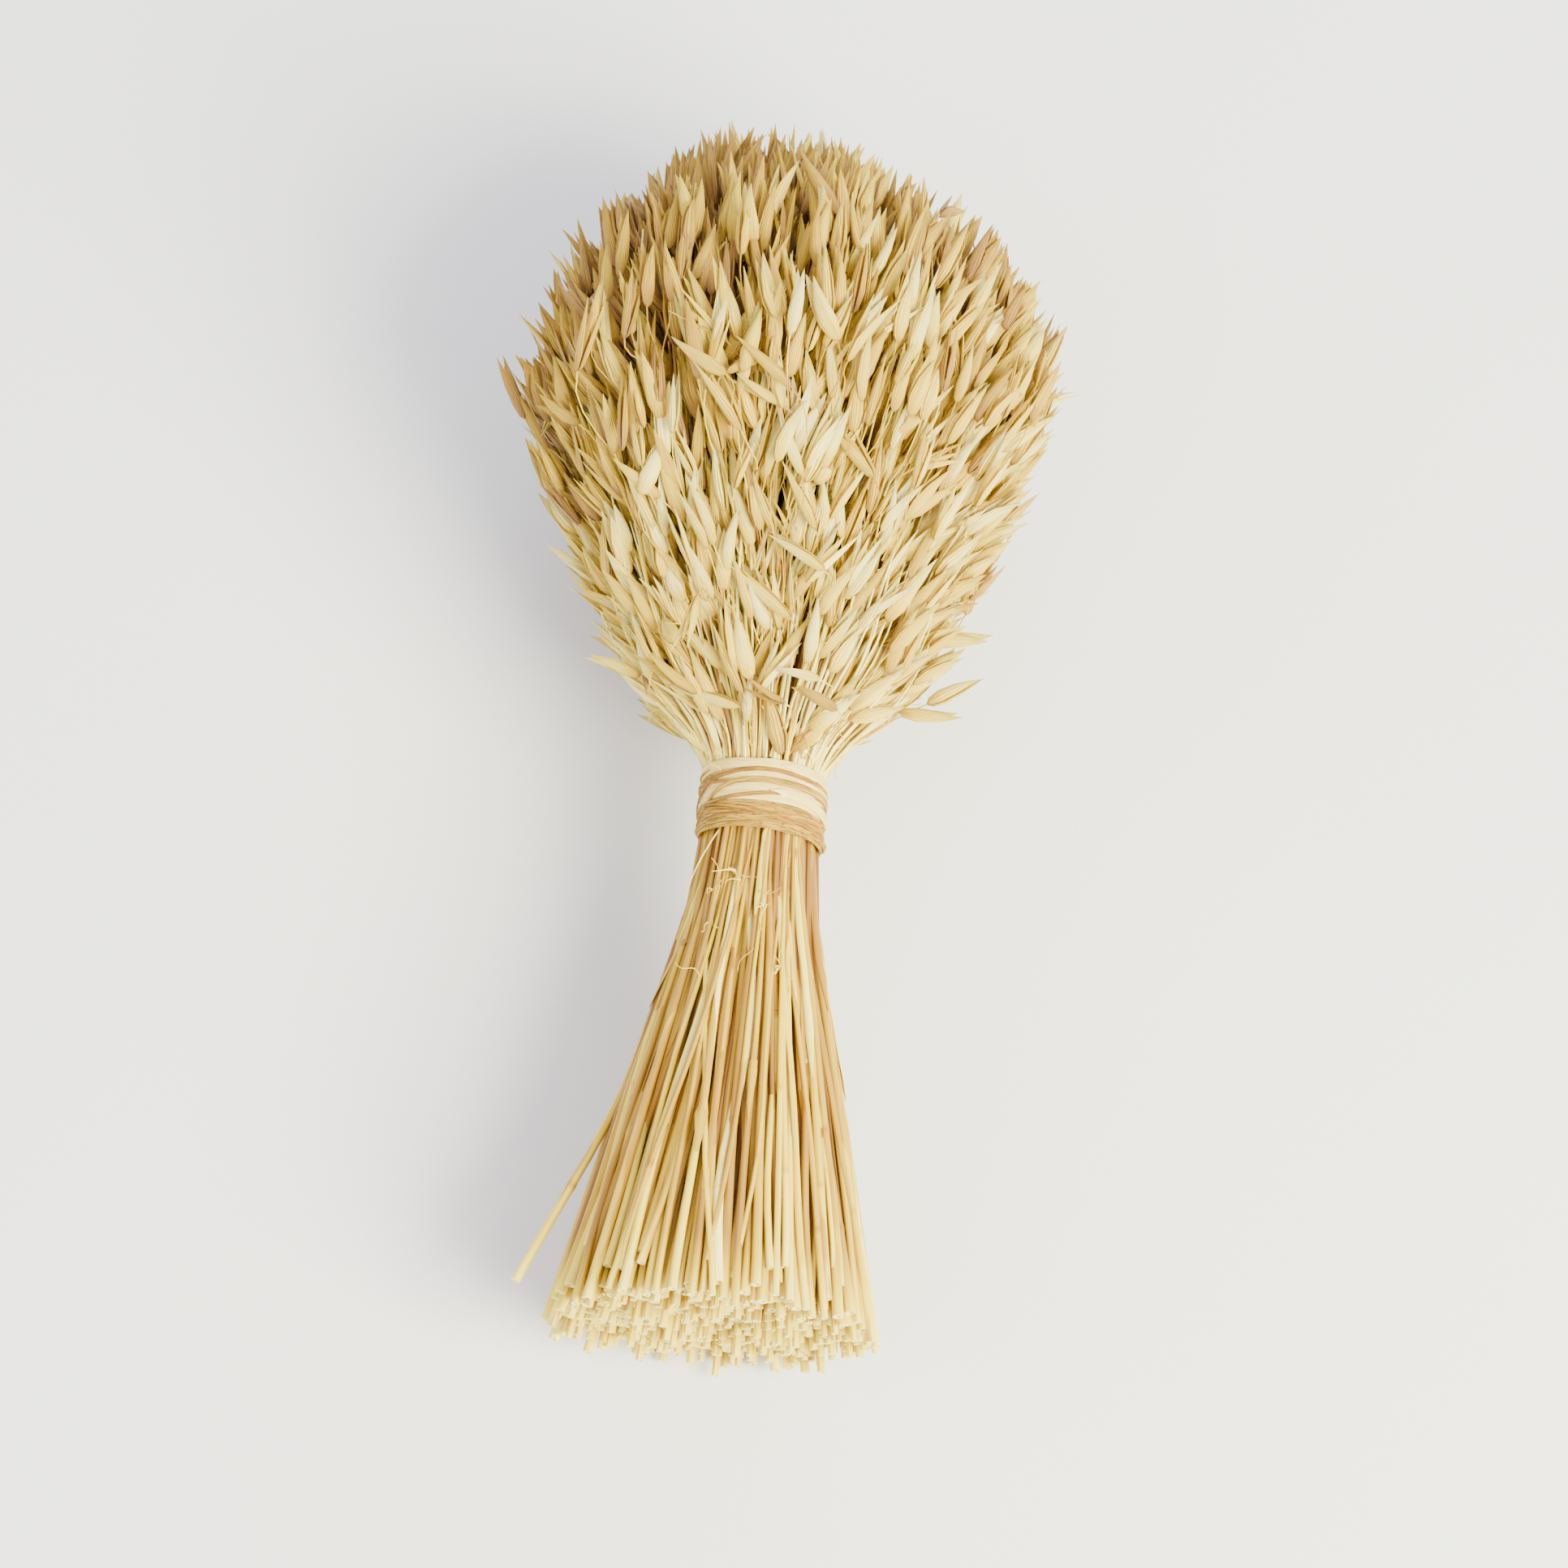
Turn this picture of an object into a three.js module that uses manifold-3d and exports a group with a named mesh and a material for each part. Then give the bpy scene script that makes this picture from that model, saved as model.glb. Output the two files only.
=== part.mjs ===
import * as THREE from "three";
import { mergeVertices } from "three/addons/utils/BufferGeometryUtils.js";
import Module from "manifold-3d";

const wasm = await Module();
wasm.setup();

// Dried oats tied at the waist, lying on their side: cut ends toward -Y, heads toward +Y, +Z up.
// The bundle is drawn in its own space first: x across, y up from its axis, z along it from the
// cut ends. Lengths are in millimetres.

// The bundle as a whole
const TIE_AT = 195;
const WAIST_RADIUS = 21.5;
const AXIS_HEIGHT = 57;
const AXIS_RISE = THREE.MathUtils.degToRad(4.7);
const WAIST_DRIFT = 3.4;
const GAP = 0.4;

// The skirt of straws below the tie
const SKIRT_FROM = 181.5;
const SKIRT_FLARE = 0.235;
const SKIRT_EASE = 8;

// The head above the tie: its reach, and the outline that the spikelets grow from
const HEAD_FROM = 208;
const HEAD_RADIUS = 106;
const HEAD_WIDEST_AT = 367;
const HEAD_TOP = 466;
const ROOT_LINE = [[214, 19.5], [343, 81.5], [378, 73], [398, 55]];
const LOPSIDED = 0.1;
const LOPSIDED_AT = 330;
const LOPSIDED_OVER = 110;

// Bunches: an outer ring, a middle ring of half as many, and one in the centre
const OUTER_BUNCHES = 16;
const MIDDLE_BUNCHES = 8;
const OUTER_FROM = 12.5;
const MIDDLE_FROM = 6;
const SKIRT_SPREAD = 0.13;
const HEAD_SPREAD = 0.22;

// Straws taper from their cut ends to the tie
const STRAW_RADIUS = 2.1;
const STRAW_TOP_RADIUS = 0.95;
const STRAW_TOP = 191.5;
const OUTER_STRAW_SIDES = 5;
const INNER_STRAW_SIDES = 4;
const STRAGGLER_IN = 7;

// Oat spikelets, two papery glumes each, open at the tip
const SPIKELET_LENGTH = 36;
const SPIKELET_WIDTH = 12;
const SPIKELET_THICKNESS = 5;
const SPIKELET_SUNK = 8;
const CONE_LEAN_LOW = THREE.MathUtils.degToRad(60);
const CONE_LEAN_HIGH = THREE.MathUtils.degToRad(42);
const SPIKELETS_CONE = 11;
const SPIKELETS_CROWN = 6;
const SPIKELETS_MIDDLE = 7;
const SPIKELETS_CENTRE = 6;
const SPIKELET_DRAWS = 14;
const GOLDEN = 0.618034;

// The tie: a wide raffia wrap below, a ribbon above, and a strand between the ribbon's turns
const WRAP_FROM = 185.2;
const WRAP_TO = 195.5;
const RIBBON_FROM = 196.2;
const RIBBON_WIDTH = 3.75;
const RIBBON_PITCH = 4.1;
const RIBBON_TURNS = 3.1;
const RIBBON_THICKNESS = 1;
const STRAND_WIDTH = 1.5;
const STRAND_THICKNESS = 0.8;
const TIE_STEPS = 18;
const WRAP_STEPS = 22;

const mix = (a, b, f) => a + (b - a) * f;
const clamp01 = (x) => Math.min(1, Math.max(0, x));
const hsl = (h, s, l) => new THREE.Color().setHSL(h, s, l);

/** Repeatable draw between 0 and 1. */
function draw(i, j) {
  const s = Math.sin(i * 127.1 + j * 311.7 + 74.7) * 43758.5453;
  return s - Math.floor(s);
}

/** Repeatable draw between -1 and 1. */
const sway = (i, j) => 2 * draw(i, j) - 1;

/** Radius outside the straws at z. */
function skirtRadius(z) {
  const d = Math.max(0, SKIRT_FROM - z);
  return WAIST_RADIUS + SKIRT_FLARE * (d - SKIRT_EASE * (1 - Math.exp(-d / SKIRT_EASE)));
}

/** Radius that the spikelet tips reach at z. */
function headRadius(z) {
  if (z < HEAD_WIDEST_AT) {
    const f = clamp01((z - HEAD_FROM) / (HEAD_WIDEST_AT - HEAD_FROM));
    return mix(WAIST_RADIUS, HEAD_RADIUS, Math.pow(f, 0.72));
  }
  const f = clamp01((z - HEAD_WIDEST_AT) / (HEAD_TOP - HEAD_WIDEST_AT));
  return HEAD_RADIUS * Math.sqrt(1 - f * f);
}

/** Radius of the surface that the outer spikelets grow from. */
function rootRadius(z) {
  const i = Math.max(1, ROOT_LINE.findIndex((p) => p[0] >= z));
  const [a, b] = z > ROOT_LINE.at(-1)[0] ? ROOT_LINE.slice(-2) : [ROOT_LINE[i - 1], ROOT_LINE[i]];
  return mix(a[1], b[1], clamp01((z - a[0]) / (b[0] - a[0])));
}

/** The head is fuller low on its right and high on its left. */
function lopsided(angle, z) {
  return 1 + LOPSIDED * Math.cos(angle) * THREE.MathUtils.clamp((LOPSIDED_AT - z) / LOPSIDED_OVER, -1, 1);
}

/** The underside is pressed in where the bundle is thicker than its axis is high. */
function settle(p) {
  if (p.y < 0) {
    const high = (AXIS_HEIGHT + p.z * Math.sin(AXIS_RISE)) / Math.cos(AXIS_RISE);
    const reach = p.z < TIE_AT ? skirtRadius(p.z) : headRadius(p.z);
    p.y *= Math.min(1, high / Math.max(reach, 1));
  }
  return p;
}

/** Height of a point over the floor. */
const heightOf = (p) => AXIS_HEIGHT + p.z * Math.sin(AXIS_RISE) + p.y * Math.cos(AXIS_RISE);

/** Point at a radius and an angle round the axis. */
function polar(r, angle, z) {
  return new THREE.Vector3(r * Math.cos(angle), r * Math.sin(angle), z);
}

/** Wall of a room: the points p with n.p >= d are inside. */
function wall(x, y, z, d, inset = GAP / 2) {
  const n = new THREE.Vector3(x, y, z);
  const size = n.length();
  return { n: n.divideScalar(size), d: d / size + inset };
}

/** Angle of a bunch round the axis, and half its share of the circle. */
function place(ring, k) {
  const half = Math.PI / (ring === "outer" ? OUTER_BUNCHES : MIDDLE_BUNCHES);
  return { angle: ring === "centre" ? 0 : (2 * k + 1) * half, half };
}

/** Where a ring of bunches starts, as a radius at z. */
function innerRadius(ring, z) {
  const away = Math.abs(z - TIE_AT);
  const spread = z < TIE_AT ? SKIRT_SPREAD : HEAD_SPREAD;
  return ring === "outer" ? OUTER_FROM + spread * away : MIDDLE_FROM + (spread / 2) * away;
}

/** Walls of the room that one bunch keeps to; side is 1 in the head and -1 in the skirt. */
function roomFor(ring, k, side) {
  const { angle, half } = place(ring, k);
  const slant = (toward, between, facing) => {
    const from = innerRadius(between, TIE_AT);
    const slope = (innerRadius(between, TIE_AT + side) - from) * side;
    const d = from - slope * TIE_AT;
    return wall(facing * Math.cos(toward), facing * Math.sin(toward), -facing * slope, facing * d);
  };
  const walls = [wall(0, 0, side, side * TIE_AT)];
  if (ring === "centre") {
    for (let i = 0; i < MIDDLE_BUNCHES; i++) {
      walls.push(slant(place("middle", i).angle, "middle", -1));
    }
  } else {
    walls.push(wall(Math.sin(angle + half), -Math.cos(angle + half), 0, 0));
    walls.push(wall(-Math.sin(angle - half), Math.cos(angle - half), 0, 0));
    walls.push(slant(angle, ring, 1));
  }
  if (ring === "middle") {
    walls.push(slant(angle - half / 2, "outer", -1));
    walls.push(slant(angle + half / 2, "outer", -1));
  }
  walls.push(wall(0, Math.cos(AXIS_RISE), Math.sin(AXIS_RISE), -AXIS_HEIGHT, 0));
  return walls;
}

/** Moves a point inside its room, margin away from the walls. */
function keepIn(p, walls, margin = 0) {
  for (let pass = 0; pass < 12; pass++) {
    for (const w of walls) {
      p.addScaledVector(w.n, Math.max(0, w.d + margin - w.n.dot(p)));
    }
  }
  return p;
}

/** Closed geometry from points and triangles. */
function closedShape(points, faces) {
  const geometry = new THREE.BufferGeometry();
  const flat = points.flatMap((p) => [p.x, p.y, p.z]);
  geometry.setAttribute("position", new THREE.Float32BufferAttribute(flat, 3));
  geometry.setIndex(faces.flat());
  return geometry;
}

/** Skin over rings of equal count: closed by a flat cap at each end, or joined last to first. */
function loft(rings, closed = false) {
  const n = rings[0].length;
  const faces = [];
  for (let j = 0; j < rings.length - (closed ? 0 : 1); j++) {
    const next = ((j + 1) % rings.length) * n;
    for (let i = 0; i < n; i++) {
      const k = (i + 1) % n;
      faces.push([j * n + i, j * n + k, next + k], [j * n + i, next + k, next + i]);
    }
  }
  const last = (rings.length - 1) * n;
  for (let i = 1; i + 1 < n && !closed; i++) {
    faces.push([0, i + 1, i], [last, last + i, last + i + 1]);
  }
  return closedShape(rings.flat(), faces);
}

/** Straw through a few stations, each a centre and a radius. */
function stick(centres, radii, sides, turn) {
  const rings = centres.map((c, j) => {
    const from = centres[Math.max(0, j - 1)];
    const to = centres[Math.min(centres.length - 1, j + 1)];
    const along = to.clone().sub(from).normalize();
    const x = new THREE.Vector3(1, 0, 0).addScaledVector(along, -along.x).normalize();
    const y = new THREE.Vector3().crossVectors(along, x);
    const ring = [];
    for (let i = 0; i < sides; i++) {
      const spot = polar(radii[j], turn + (2 * Math.PI * i) / sides, 0);
      ring.push(c.clone().addScaledVector(x, spot.x).addScaledVector(y, spot.y));
    }
    return ring;
  });
  return loft(rings);
}

/** Every point of a shape kept in its room. */
function keepShapeIn(geometry, walls) {
  const position = geometry.attributes.position;
  const p = new THREE.Vector3();
  for (let i = 0; i < position.count; i++) {
    keepIn(p.fromBufferAttribute(position, i), walls);
    position.setXYZ(i, p.x, p.y, p.z);
  }
  return geometry;
}

/** Solid for joining, with its faces turned out. */
function solid(geometry) {
  const bare = geometry.clone();
  bare.deleteAttribute("normal");
  bare.deleteAttribute("uv");
  const merged = mergeVertices(bare, 1e-4);
  const make = (index) => new wasm.Manifold(new wasm.Mesh({
    numProp: 3,
    vertProperties: new Float32Array(merged.attributes.position.array),
    triVerts: new Uint32Array(index),
  }));
  const index = Array.from(merged.index.array);
  const made = make(index);
  return made.volume() > 0 ? made : make(index.reverse());
}

/** One body from overlapping solids; hollows that they shut in between them are filled. */
function fuse(geometries) {
  const bodies = wasm.Manifold.union(geometries.map(solid)).simplify(0.05).decompose();
  return bodies.sort((a, b) => b.volume() - a.volume())[0];
}

const bundle = new THREE.Group();
bundle.name = "oat_bundle";

/** Lays a body on the floor and adds it: its axis rises to the head, its waist stands to the right. */
function addPart(name, body, color, roughness) {
  const mesh = body.getMesh();
  const points = [];
  for (let i = 0; i < mesh.vertProperties.length; i += mesh.numProp) {
    const [x, y, z] = mesh.vertProperties.slice(i, i + 3);
    const drift = z < TIE_AT ? z / TIE_AT : 1 - (z - TIE_AT) / (HEAD_WIDEST_AT - TIE_AT);
    points.push(new THREE.Vector3(
      x + WAIST_DRIFT * drift,
      z * Math.cos(AXIS_RISE) - y * Math.sin(AXIS_RISE),
      AXIS_HEIGHT + z * Math.sin(AXIS_RISE) + y * Math.cos(AXIS_RISE),
    ));
  }
  // The bundle's own space is left-handed on the floor, so each triangle is turned round
  const faces = [];
  for (let i = 0; i < mesh.triVerts.length; i += 3) {
    faces.push([mesh.triVerts[i], mesh.triVerts[i + 2], mesh.triVerts[i + 1]]);
  }
  const geometry = closedShape(points, faces);
  geometry.computeVertexNormals();
  const part = new THREE.Mesh(geometry, new THREE.MeshStandardMaterial({ color, roughness, metalness: 0 }));
  part.name = name;
  bundle.add(part);
}

/** Ring of points across a bunch, between two radii and over a share of its room. */
function bunchSection(ring, k, z, low, high, share, walls) {
  const { angle, half } = place(ring, k);
  if (ring === "centre") {
    return [0, 1, 2, 3, 4, 5].map((i) => keepIn(settle(polar(high, (i * Math.PI) / 3, z)), walls));
  }
  const wide = half * share;
  const points = [
    polar(low, angle - wide, z),
    polar(high, angle - wide, z),
    polar(high, angle + wide, z),
    polar(low, angle + wide, z),
  ];
  return points.map((p) => keepIn(settle(p), walls));
}

/** The packed part of a bunch inside the tie. */
function binding(ring, k, walls, from, to) {
  const reach = { outer: WAIST_RADIUS, middle: OUTER_FROM + 0.5, centre: MIDDLE_FROM - 0.5 }[ring];
  const low = innerRadius(ring, TIE_AT) - 1;
  return loft([from, to].map((z) => bunchSection(ring, k, z, low, reach, 0.99, walls)));
}

/** Where each straw of a bunch stands: at its cut end by side and depth, at the tie by side and radius. */
function strawPlan(ring) {
  const straws = [];
  if (ring === "outer") {
    for (let i = -2; i <= 2; i++) {
      straws.push({ side: i / 2.5, depth: 0, tieSide: i / 2.9, tieRadius: i % 2 ? 17.5 : 19.4 });
    }
    for (const s of [-0.43, 0.43]) {
      straws.push({ side: s, depth: 11, tieSide: s, tieRadius: 15.6 });
    }
  } else if (ring === "middle") {
    for (let i = -1; i <= 1; i++) {
      straws.push({ side: i * 0.62, share: 0.6, tieSide: i * 0.6, tieRadius: 11.6 });
    }
    for (const s of [-0.4, 0.4]) {
      straws.push({ side: s, share: 0.4, tieSide: s, tieRadius: 9.2 });
    }
  } else {
    for (let i = 0; i < 6; i++) {
      const side = (i / 3) * MIDDLE_BUNCHES;
      straws.push({ side, share: 0.2, tieSide: side, tieRadius: 3.4 });
    }
  }
  return straws;
}

/** One straw of the skirt that has bent away from the rest. */
function straggler(angle, walls) {
  const stations = [
    polar(19, angle, STRAW_TOP),
    polar(skirtRadius(90) - 1, angle + 0.02, 90),
    polar(skirtRadius(70) + 3, angle + 0.03, 70),
    polar(skirtRadius(12.8) + 15, angle + 0.05, 12.8),
  ];
  return keepShapeIn(stick(stations, [1, 1.9, 1.95, 1.95], OUTER_STRAW_SIDES, 0), walls);
}

/** Straws of one bunch, from their cut ends into the tie. */
function strawBunch(ring, k) {
  const walls = roomFor(ring, k, -1);
  const { angle, half } = place(ring, k);
  const seed = { outer: 0, middle: 1000, centre: 2000 }[ring] + 10 * k;
  const sides = ring === "outer" ? OUTER_STRAW_SIDES : INNER_STRAW_SIDES;
  const shapes = strawPlan(ring).map((s, i) => {
    const key = seed + i;
    const end = -2 + 7 * Math.pow(draw(key, 1), 1.5);
    const size = 0.88 + 0.12 * draw(key, 2);
    const radii = [STRAW_RADIUS * size, STRAW_TOP_RADIUS * size];
    const out = skirtRadius(end);
    const inside = out * (s.share + 0.03 * sway(key, 3));
    const outside = out - STRAW_RADIUS - s.depth - 1.2 * draw(key, 3);
    const r = s.share ? inside : outside;
    const foot = settle(polar(r, angle + half * (s.side + 0.05 * sway(key, 4)), end));
    const top = polar(s.tieRadius, angle + half * s.tieSide, STRAW_TOP);
    const ends = [keepIn(foot, walls, radii[0] * 0.9), keepIn(top, walls, radii[1] * 0.9)];
    return keepShapeIn(stick(ends, radii, sides, 6 * draw(key, 5)), walls);
  });
  if (ring === "outer" && k === STRAGGLER_IN) {
    shapes.push(straggler(angle, walls));
  }
  return fuse([binding(ring, k, walls, WRAP_FROM + 2, TIE_AT - GAP / 2), ...shapes]);
}

const SPIKELET_FACES = [
  [0, 1, 2], [0, 2, 3], [0, 3, 4], [0, 4, 1],
  [1, 6, 2], [2, 6, 5], [5, 6, 4], [4, 6, 1],
  [2, 7, 3], [3, 7, 4], [4, 7, 5], [5, 7, 2],
];

/** Points of one spikelet: a stalk end, a ring round the widest place, the fork and two glume tips. */
function spikeletPoints(root, along, across, size, fork, reach) {
  const out = new THREE.Vector3().crossVectors(along, across);
  const at = (l, w, d) => root.clone()
    .addScaledVector(along, reach + l * SPIKELET_LENGTH * size)
    .addScaledVector(across, w * SPIKELET_WIDTH * size)
    .addScaledVector(out, d * SPIKELET_THICKNESS * size);
  return [
    root.clone().addScaledVector(along, -SPIKELET_SUNK),
    at(0.28, -0.5, 0),
    at(0.31, 0, 0.5),
    at(0.28, 0.5, 0),
    at(0.31, 0, -0.5),
    at(0.58, 0, 0),
    at(0.93, -0.2 - fork, 0.1),
    at(1, 0.16 + fork, -0.1),
  ];
}

const BALLS_AT = [0.25, 0.5, 0.85];
const BALL_SIZE = 6.8;

/** How far two spikelets run into each other, each taken as three balls along it. */
function crowding(a, b) {
  let deepest = 0;
  for (const p of a) {
    for (const q of b) {
      deepest = Math.max(deepest, BALL_SIZE - p.distanceTo(q));
    }
  }
  return deepest;
}

/** One spikelet: of several draws, the one that its walls and its neighbours disturb least. */
function spikelet(site, walls, key, placed) {
  const { root, lean, reach = 0 } = site;
  const angle = Math.atan2(root.y, root.x);
  const radial = polar(1, angle, 0);
  const around = polar(1, angle + Math.PI / 2, 0);
  const size = 0.88 + 0.24 * draw(key, 10);
  const length = reach + SPIKELET_LENGTH * size;
  let best = { cost: Infinity };
  for (let i = 0; i < SPIKELET_DRAWS; i++) {
    const tilt = lean + 0.16 * sway(key, 20 + 7 * i);
    const along = new THREE.Vector3(0, 0, Math.cos(tilt))
      .addScaledVector(radial, Math.sin(tilt))
      .addScaledVector(around, 0.36 * sway(key, 21 + 7 * i));
    const tip = root.clone().addScaledVector(along, length);
    along.y += Math.max(0, -heightOf(tip)) / length;
    along.normalize();
    const roll = 0.7 * sway(key, 22 + 7 * i);
    const flat = new THREE.Vector3().crossVectors(along, radial).normalize();
    const deep = new THREE.Vector3().crossVectors(along, flat);
    const across = flat.multiplyScalar(Math.cos(roll)).addScaledVector(deep, Math.sin(roll));
    const points = spikeletPoints(root, along, across, size, 0.1 + 0.12 * draw(key, 11), reach);
    const kept = points.map((p) => keepIn(p.clone(), walls));
    const bend = Math.max(...kept.map((p, j) => p.distanceTo(points[j])));
    const balls = BALLS_AT.map((f) => root.clone().addScaledVector(along, f * SPIKELET_LENGTH * size));
    const cost = bend + 1.5 * placed.reduce((sum, other) => sum + crowding(balls, other), 0);
    if (cost < best.cost) {
      best = { kept, cost, balls };
    }
  }
  placed.push(best.balls);
  return closedShape(best.kept, SPIKELET_FACES);
}

/** Lean away from the axis of a spikelet on the crown. */
const crownLean = (r) => CONE_LEAN_HIGH * Math.pow(clamp01(r / ROOT_LINE[1][1]), 1.2);

/** Point on the outer side of an outer core, by its z and its side from -1 to 1. */
function onCore(core, z, side) {
  const j = Math.min(core.length - 2, core.findLastIndex((section) => section.z <= z));
  const [a, b] = [core[j], core[j + 1]];
  const f = (z - a.z) / (b.z - a.z);
  const left = a.points[1].clone().lerp(b.points[1], f);
  const right = a.points[2].clone().lerp(b.points[2], f);
  return left.lerp(right, (side + 1) / 2);
}

/** Sites of a bunch's spikelets: the root, and the lean away from the axis. */
function spikeletSites(ring, k, core) {
  const { angle, half } = place(ring, k);
  const scatter = draw(3000 + 50 * k, 1);
  const sides = (i) => 2 * ((i * GOLDEN + scatter) % 1) - 1;
  const shoulder = ROOT_LINE[1][0];
  const sites = [];
  if (ring === "outer") {
    for (let i = 0; i < SPIKELETS_CONE + SPIKELETS_CROWN; i++) {
      const onCone = i < SPIKELETS_CONE;
      const up = Math.pow((i + 0.5) / SPIKELETS_CONE, 0.75);
      const f = onCone ? up : (i - SPIKELETS_CONE + 0.5) / SPIKELETS_CROWN;
      const z = onCone ? mix(ROOT_LINE[0][0] + 3, shoulder, f) : mix(shoulder + 4, core.at(-1).z, f);
      const room = 1 - 2 / (rootRadius(z) * half);
      const root = onCore(core, z, sides(i) * room);
      const lean = onCone ? mix(CONE_LEAN_LOW, CONE_LEAN_HIGH, f) : crownLean(Math.hypot(root.x, root.y));
      sites.push({ root, lean });
    }
  } else if (ring === "middle") {
    for (let i = 0; i < SPIKELETS_MIDDLE; i++) {
      const r = mix(54, 36, i / (SPIKELETS_MIDDLE - 1));
      const root = polar(r, angle + half * 0.74 * sides(i), mix(427, 412, r / 55));
      sites.push({ root, lean: crownLean(r) });
    }
  } else {
    for (let i = 0; i < SPIKELETS_CENTRE; i++) {
      const r = i ? 17 : 2;
      sites.push({ root: polar(r, (2 * Math.PI * i) / (SPIKELETS_CENTRE - 1), 421), lean: crownLean(r) });
    }
  }
  return sites;
}

/** Long-stalked spikelets that stand out of the head's outline. */
const STRAYS = [
  { ring: "middle", k: 0, r: 41, side: 0.2, z: 416, lean: -6, reach: 15 },
  { ring: "middle", k: 3, r: 42, side: -0.2, z: 416, lean: 0, reach: 15 },
  { ring: "outer", k: 1, side: -0.2, z: 390, lean: 20, reach: 21 },
  { ring: "outer", k: 6, side: 0.2, z: 388, lean: 20, reach: 15 },
  { ring: "outer", k: 0, side: 0.1, z: 339, lean: 46, reach: 6 },
  { ring: "outer", k: 7, side: 0.2, z: 243, lean: 76, reach: 5 },
];

/** Sections of a bunch's core: the slim body that its spikelets stand out of. */
function coreSections(ring, k, walls) {
  const { angle } = place(ring, k);
  const stations = {
    outer: [212, 278, ...ROOT_LINE.slice(1).map((p) => p[0])],
    middle: [212, 396, 418],
    centre: [212, 418],
  }[ring];
  return stations.map((z, j) => {
    const low = innerRadius(ring, z) + 1;
    const high = {
      outer: () => (j ? rootRadius(z) * lopsided(angle, z) - 1 : WAIST_RADIUS - 2.5),
      middle: () => innerRadius("outer", z) - (j === 2 ? 5 : 3),
      centre: () => innerRadius("middle", z) - (j ? 6 : 1.5),
    }[ring]();
    return { z, points: bunchSection(ring, k, z, low, Math.max(low + 3, high), 0.8, walls) };
  });
}

/** Heads of one bunch. */
function headBunch(ring, k) {
  const walls = roomFor(ring, k, 1);
  const { angle, half } = place(ring, k);
  const core = coreSections(ring, k, walls);
  const trunk = loft(core.map((section) => section.points));
  const shapes = [binding(ring, k, walls, TIE_AT + GAP / 2, core[0].z + 1.5), trunk];
  const seed = { outer: 4000, middle: 5000, centre: 6000 }[ring] + 60 * k;
  const sites = spikeletSites(ring, k, core);
  STRAYS.filter((s) => s.ring === ring && s.k === k).forEach((s) => {
    const root = s.r ? polar(s.r, angle + half * s.side, s.z) : onCore(core, s.z, s.side);
    sites.push({ root, lean: THREE.MathUtils.degToRad(s.lean), reach: s.reach });
  });
  const placed = [];
  sites.forEach((site, i) => shapes.push(spikelet(site, walls, seed + i, placed)));
  return fuse(shapes);
}

/** Strip wound round the waist from a given station, its inner side at the given radius. */
function wound(from, turns, width, inside, thickness) {
  const rings = [];
  for (let i = 0; i <= Math.round(turns * TIE_STEPS); i++) {
    const angle = 0.6 + (2 * Math.PI * i) / TIE_STEPS;
    const ripple = 0.15 * (1 + Math.sin(angle * 3.3));
    const half = (width / 2) * (1 + 0.08 * Math.sin(angle * 2.1));
    const middle = from + (RIBBON_PITCH * i) / TIE_STEPS + width / 2;
    const inner = inside + ripple;
    rings.push([
      polar(inner, angle, middle - half),
      polar(inner + thickness, angle, middle - half),
      polar(inner + thickness, angle, middle + half),
      polar(inner, angle, middle + half),
    ]);
  }
  return loft(rings);
}

/** Closed band of wrinkled raffia, flared a little at its lower edge. */
function wrap(steps) {
  const rings = [];
  const inside = WAIST_RADIUS + 0.65;
  for (let i = 0; i < steps; i++) {
    const angle = (2 * Math.PI * i) / steps;
    const wrinkle = 0.25 * Math.sin(angle * 7) + 0.2 * Math.sin(angle * 4 + 1);
    const edge = WRAP_FROM + 0.5 * Math.sin(angle * 3);
    rings.push([
      polar(inside + 0.5, angle, edge),
      polar(inside + 1.6, angle, edge + 1),
      polar(inside + 1.5 + wrinkle, angle, mix(WRAP_FROM, WRAP_TO, 0.35)),
      polar(inside + 1.7 - wrinkle, angle, mix(WRAP_FROM, WRAP_TO, 0.68)),
      polar(inside + 1.3, angle, WRAP_TO),
      polar(inside, angle, WRAP_TO),
    ]);
  }
  return loft(rings, true);
}

for (let k = 0; k < OUTER_BUNCHES; k++) {
  addPart(`straws_outer_${k + 1}`, strawBunch("outer", k), hsl(0.115, 0.5, 0.6 + 0.04 * sway(k, 61)), 0.6);
}
for (let k = 0; k < MIDDLE_BUNCHES; k++) {
  addPart(`straws_middle_${k + 1}`, strawBunch("middle", k), hsl(0.11, 0.5, 0.55), 0.6);
}
addPart("straws_centre", strawBunch("centre", 0), hsl(0.11, 0.5, 0.52), 0.6);

for (let k = 0; k < OUTER_BUNCHES; k++) {
  addPart(`heads_outer_${k + 1}`, headBunch("outer", k), hsl(0.113, 0.5, 0.7 + 0.04 * sway(k, 62)), 0.75);
}
for (let k = 0; k < MIDDLE_BUNCHES; k++) {
  addPart(`heads_middle_${k + 1}`, headBunch("middle", k), hsl(0.1, 0.48, 0.66), 0.75);
}
addPart("heads_centre", headBunch("centre", 0), hsl(0.1, 0.48, 0.64), 0.75);

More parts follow.
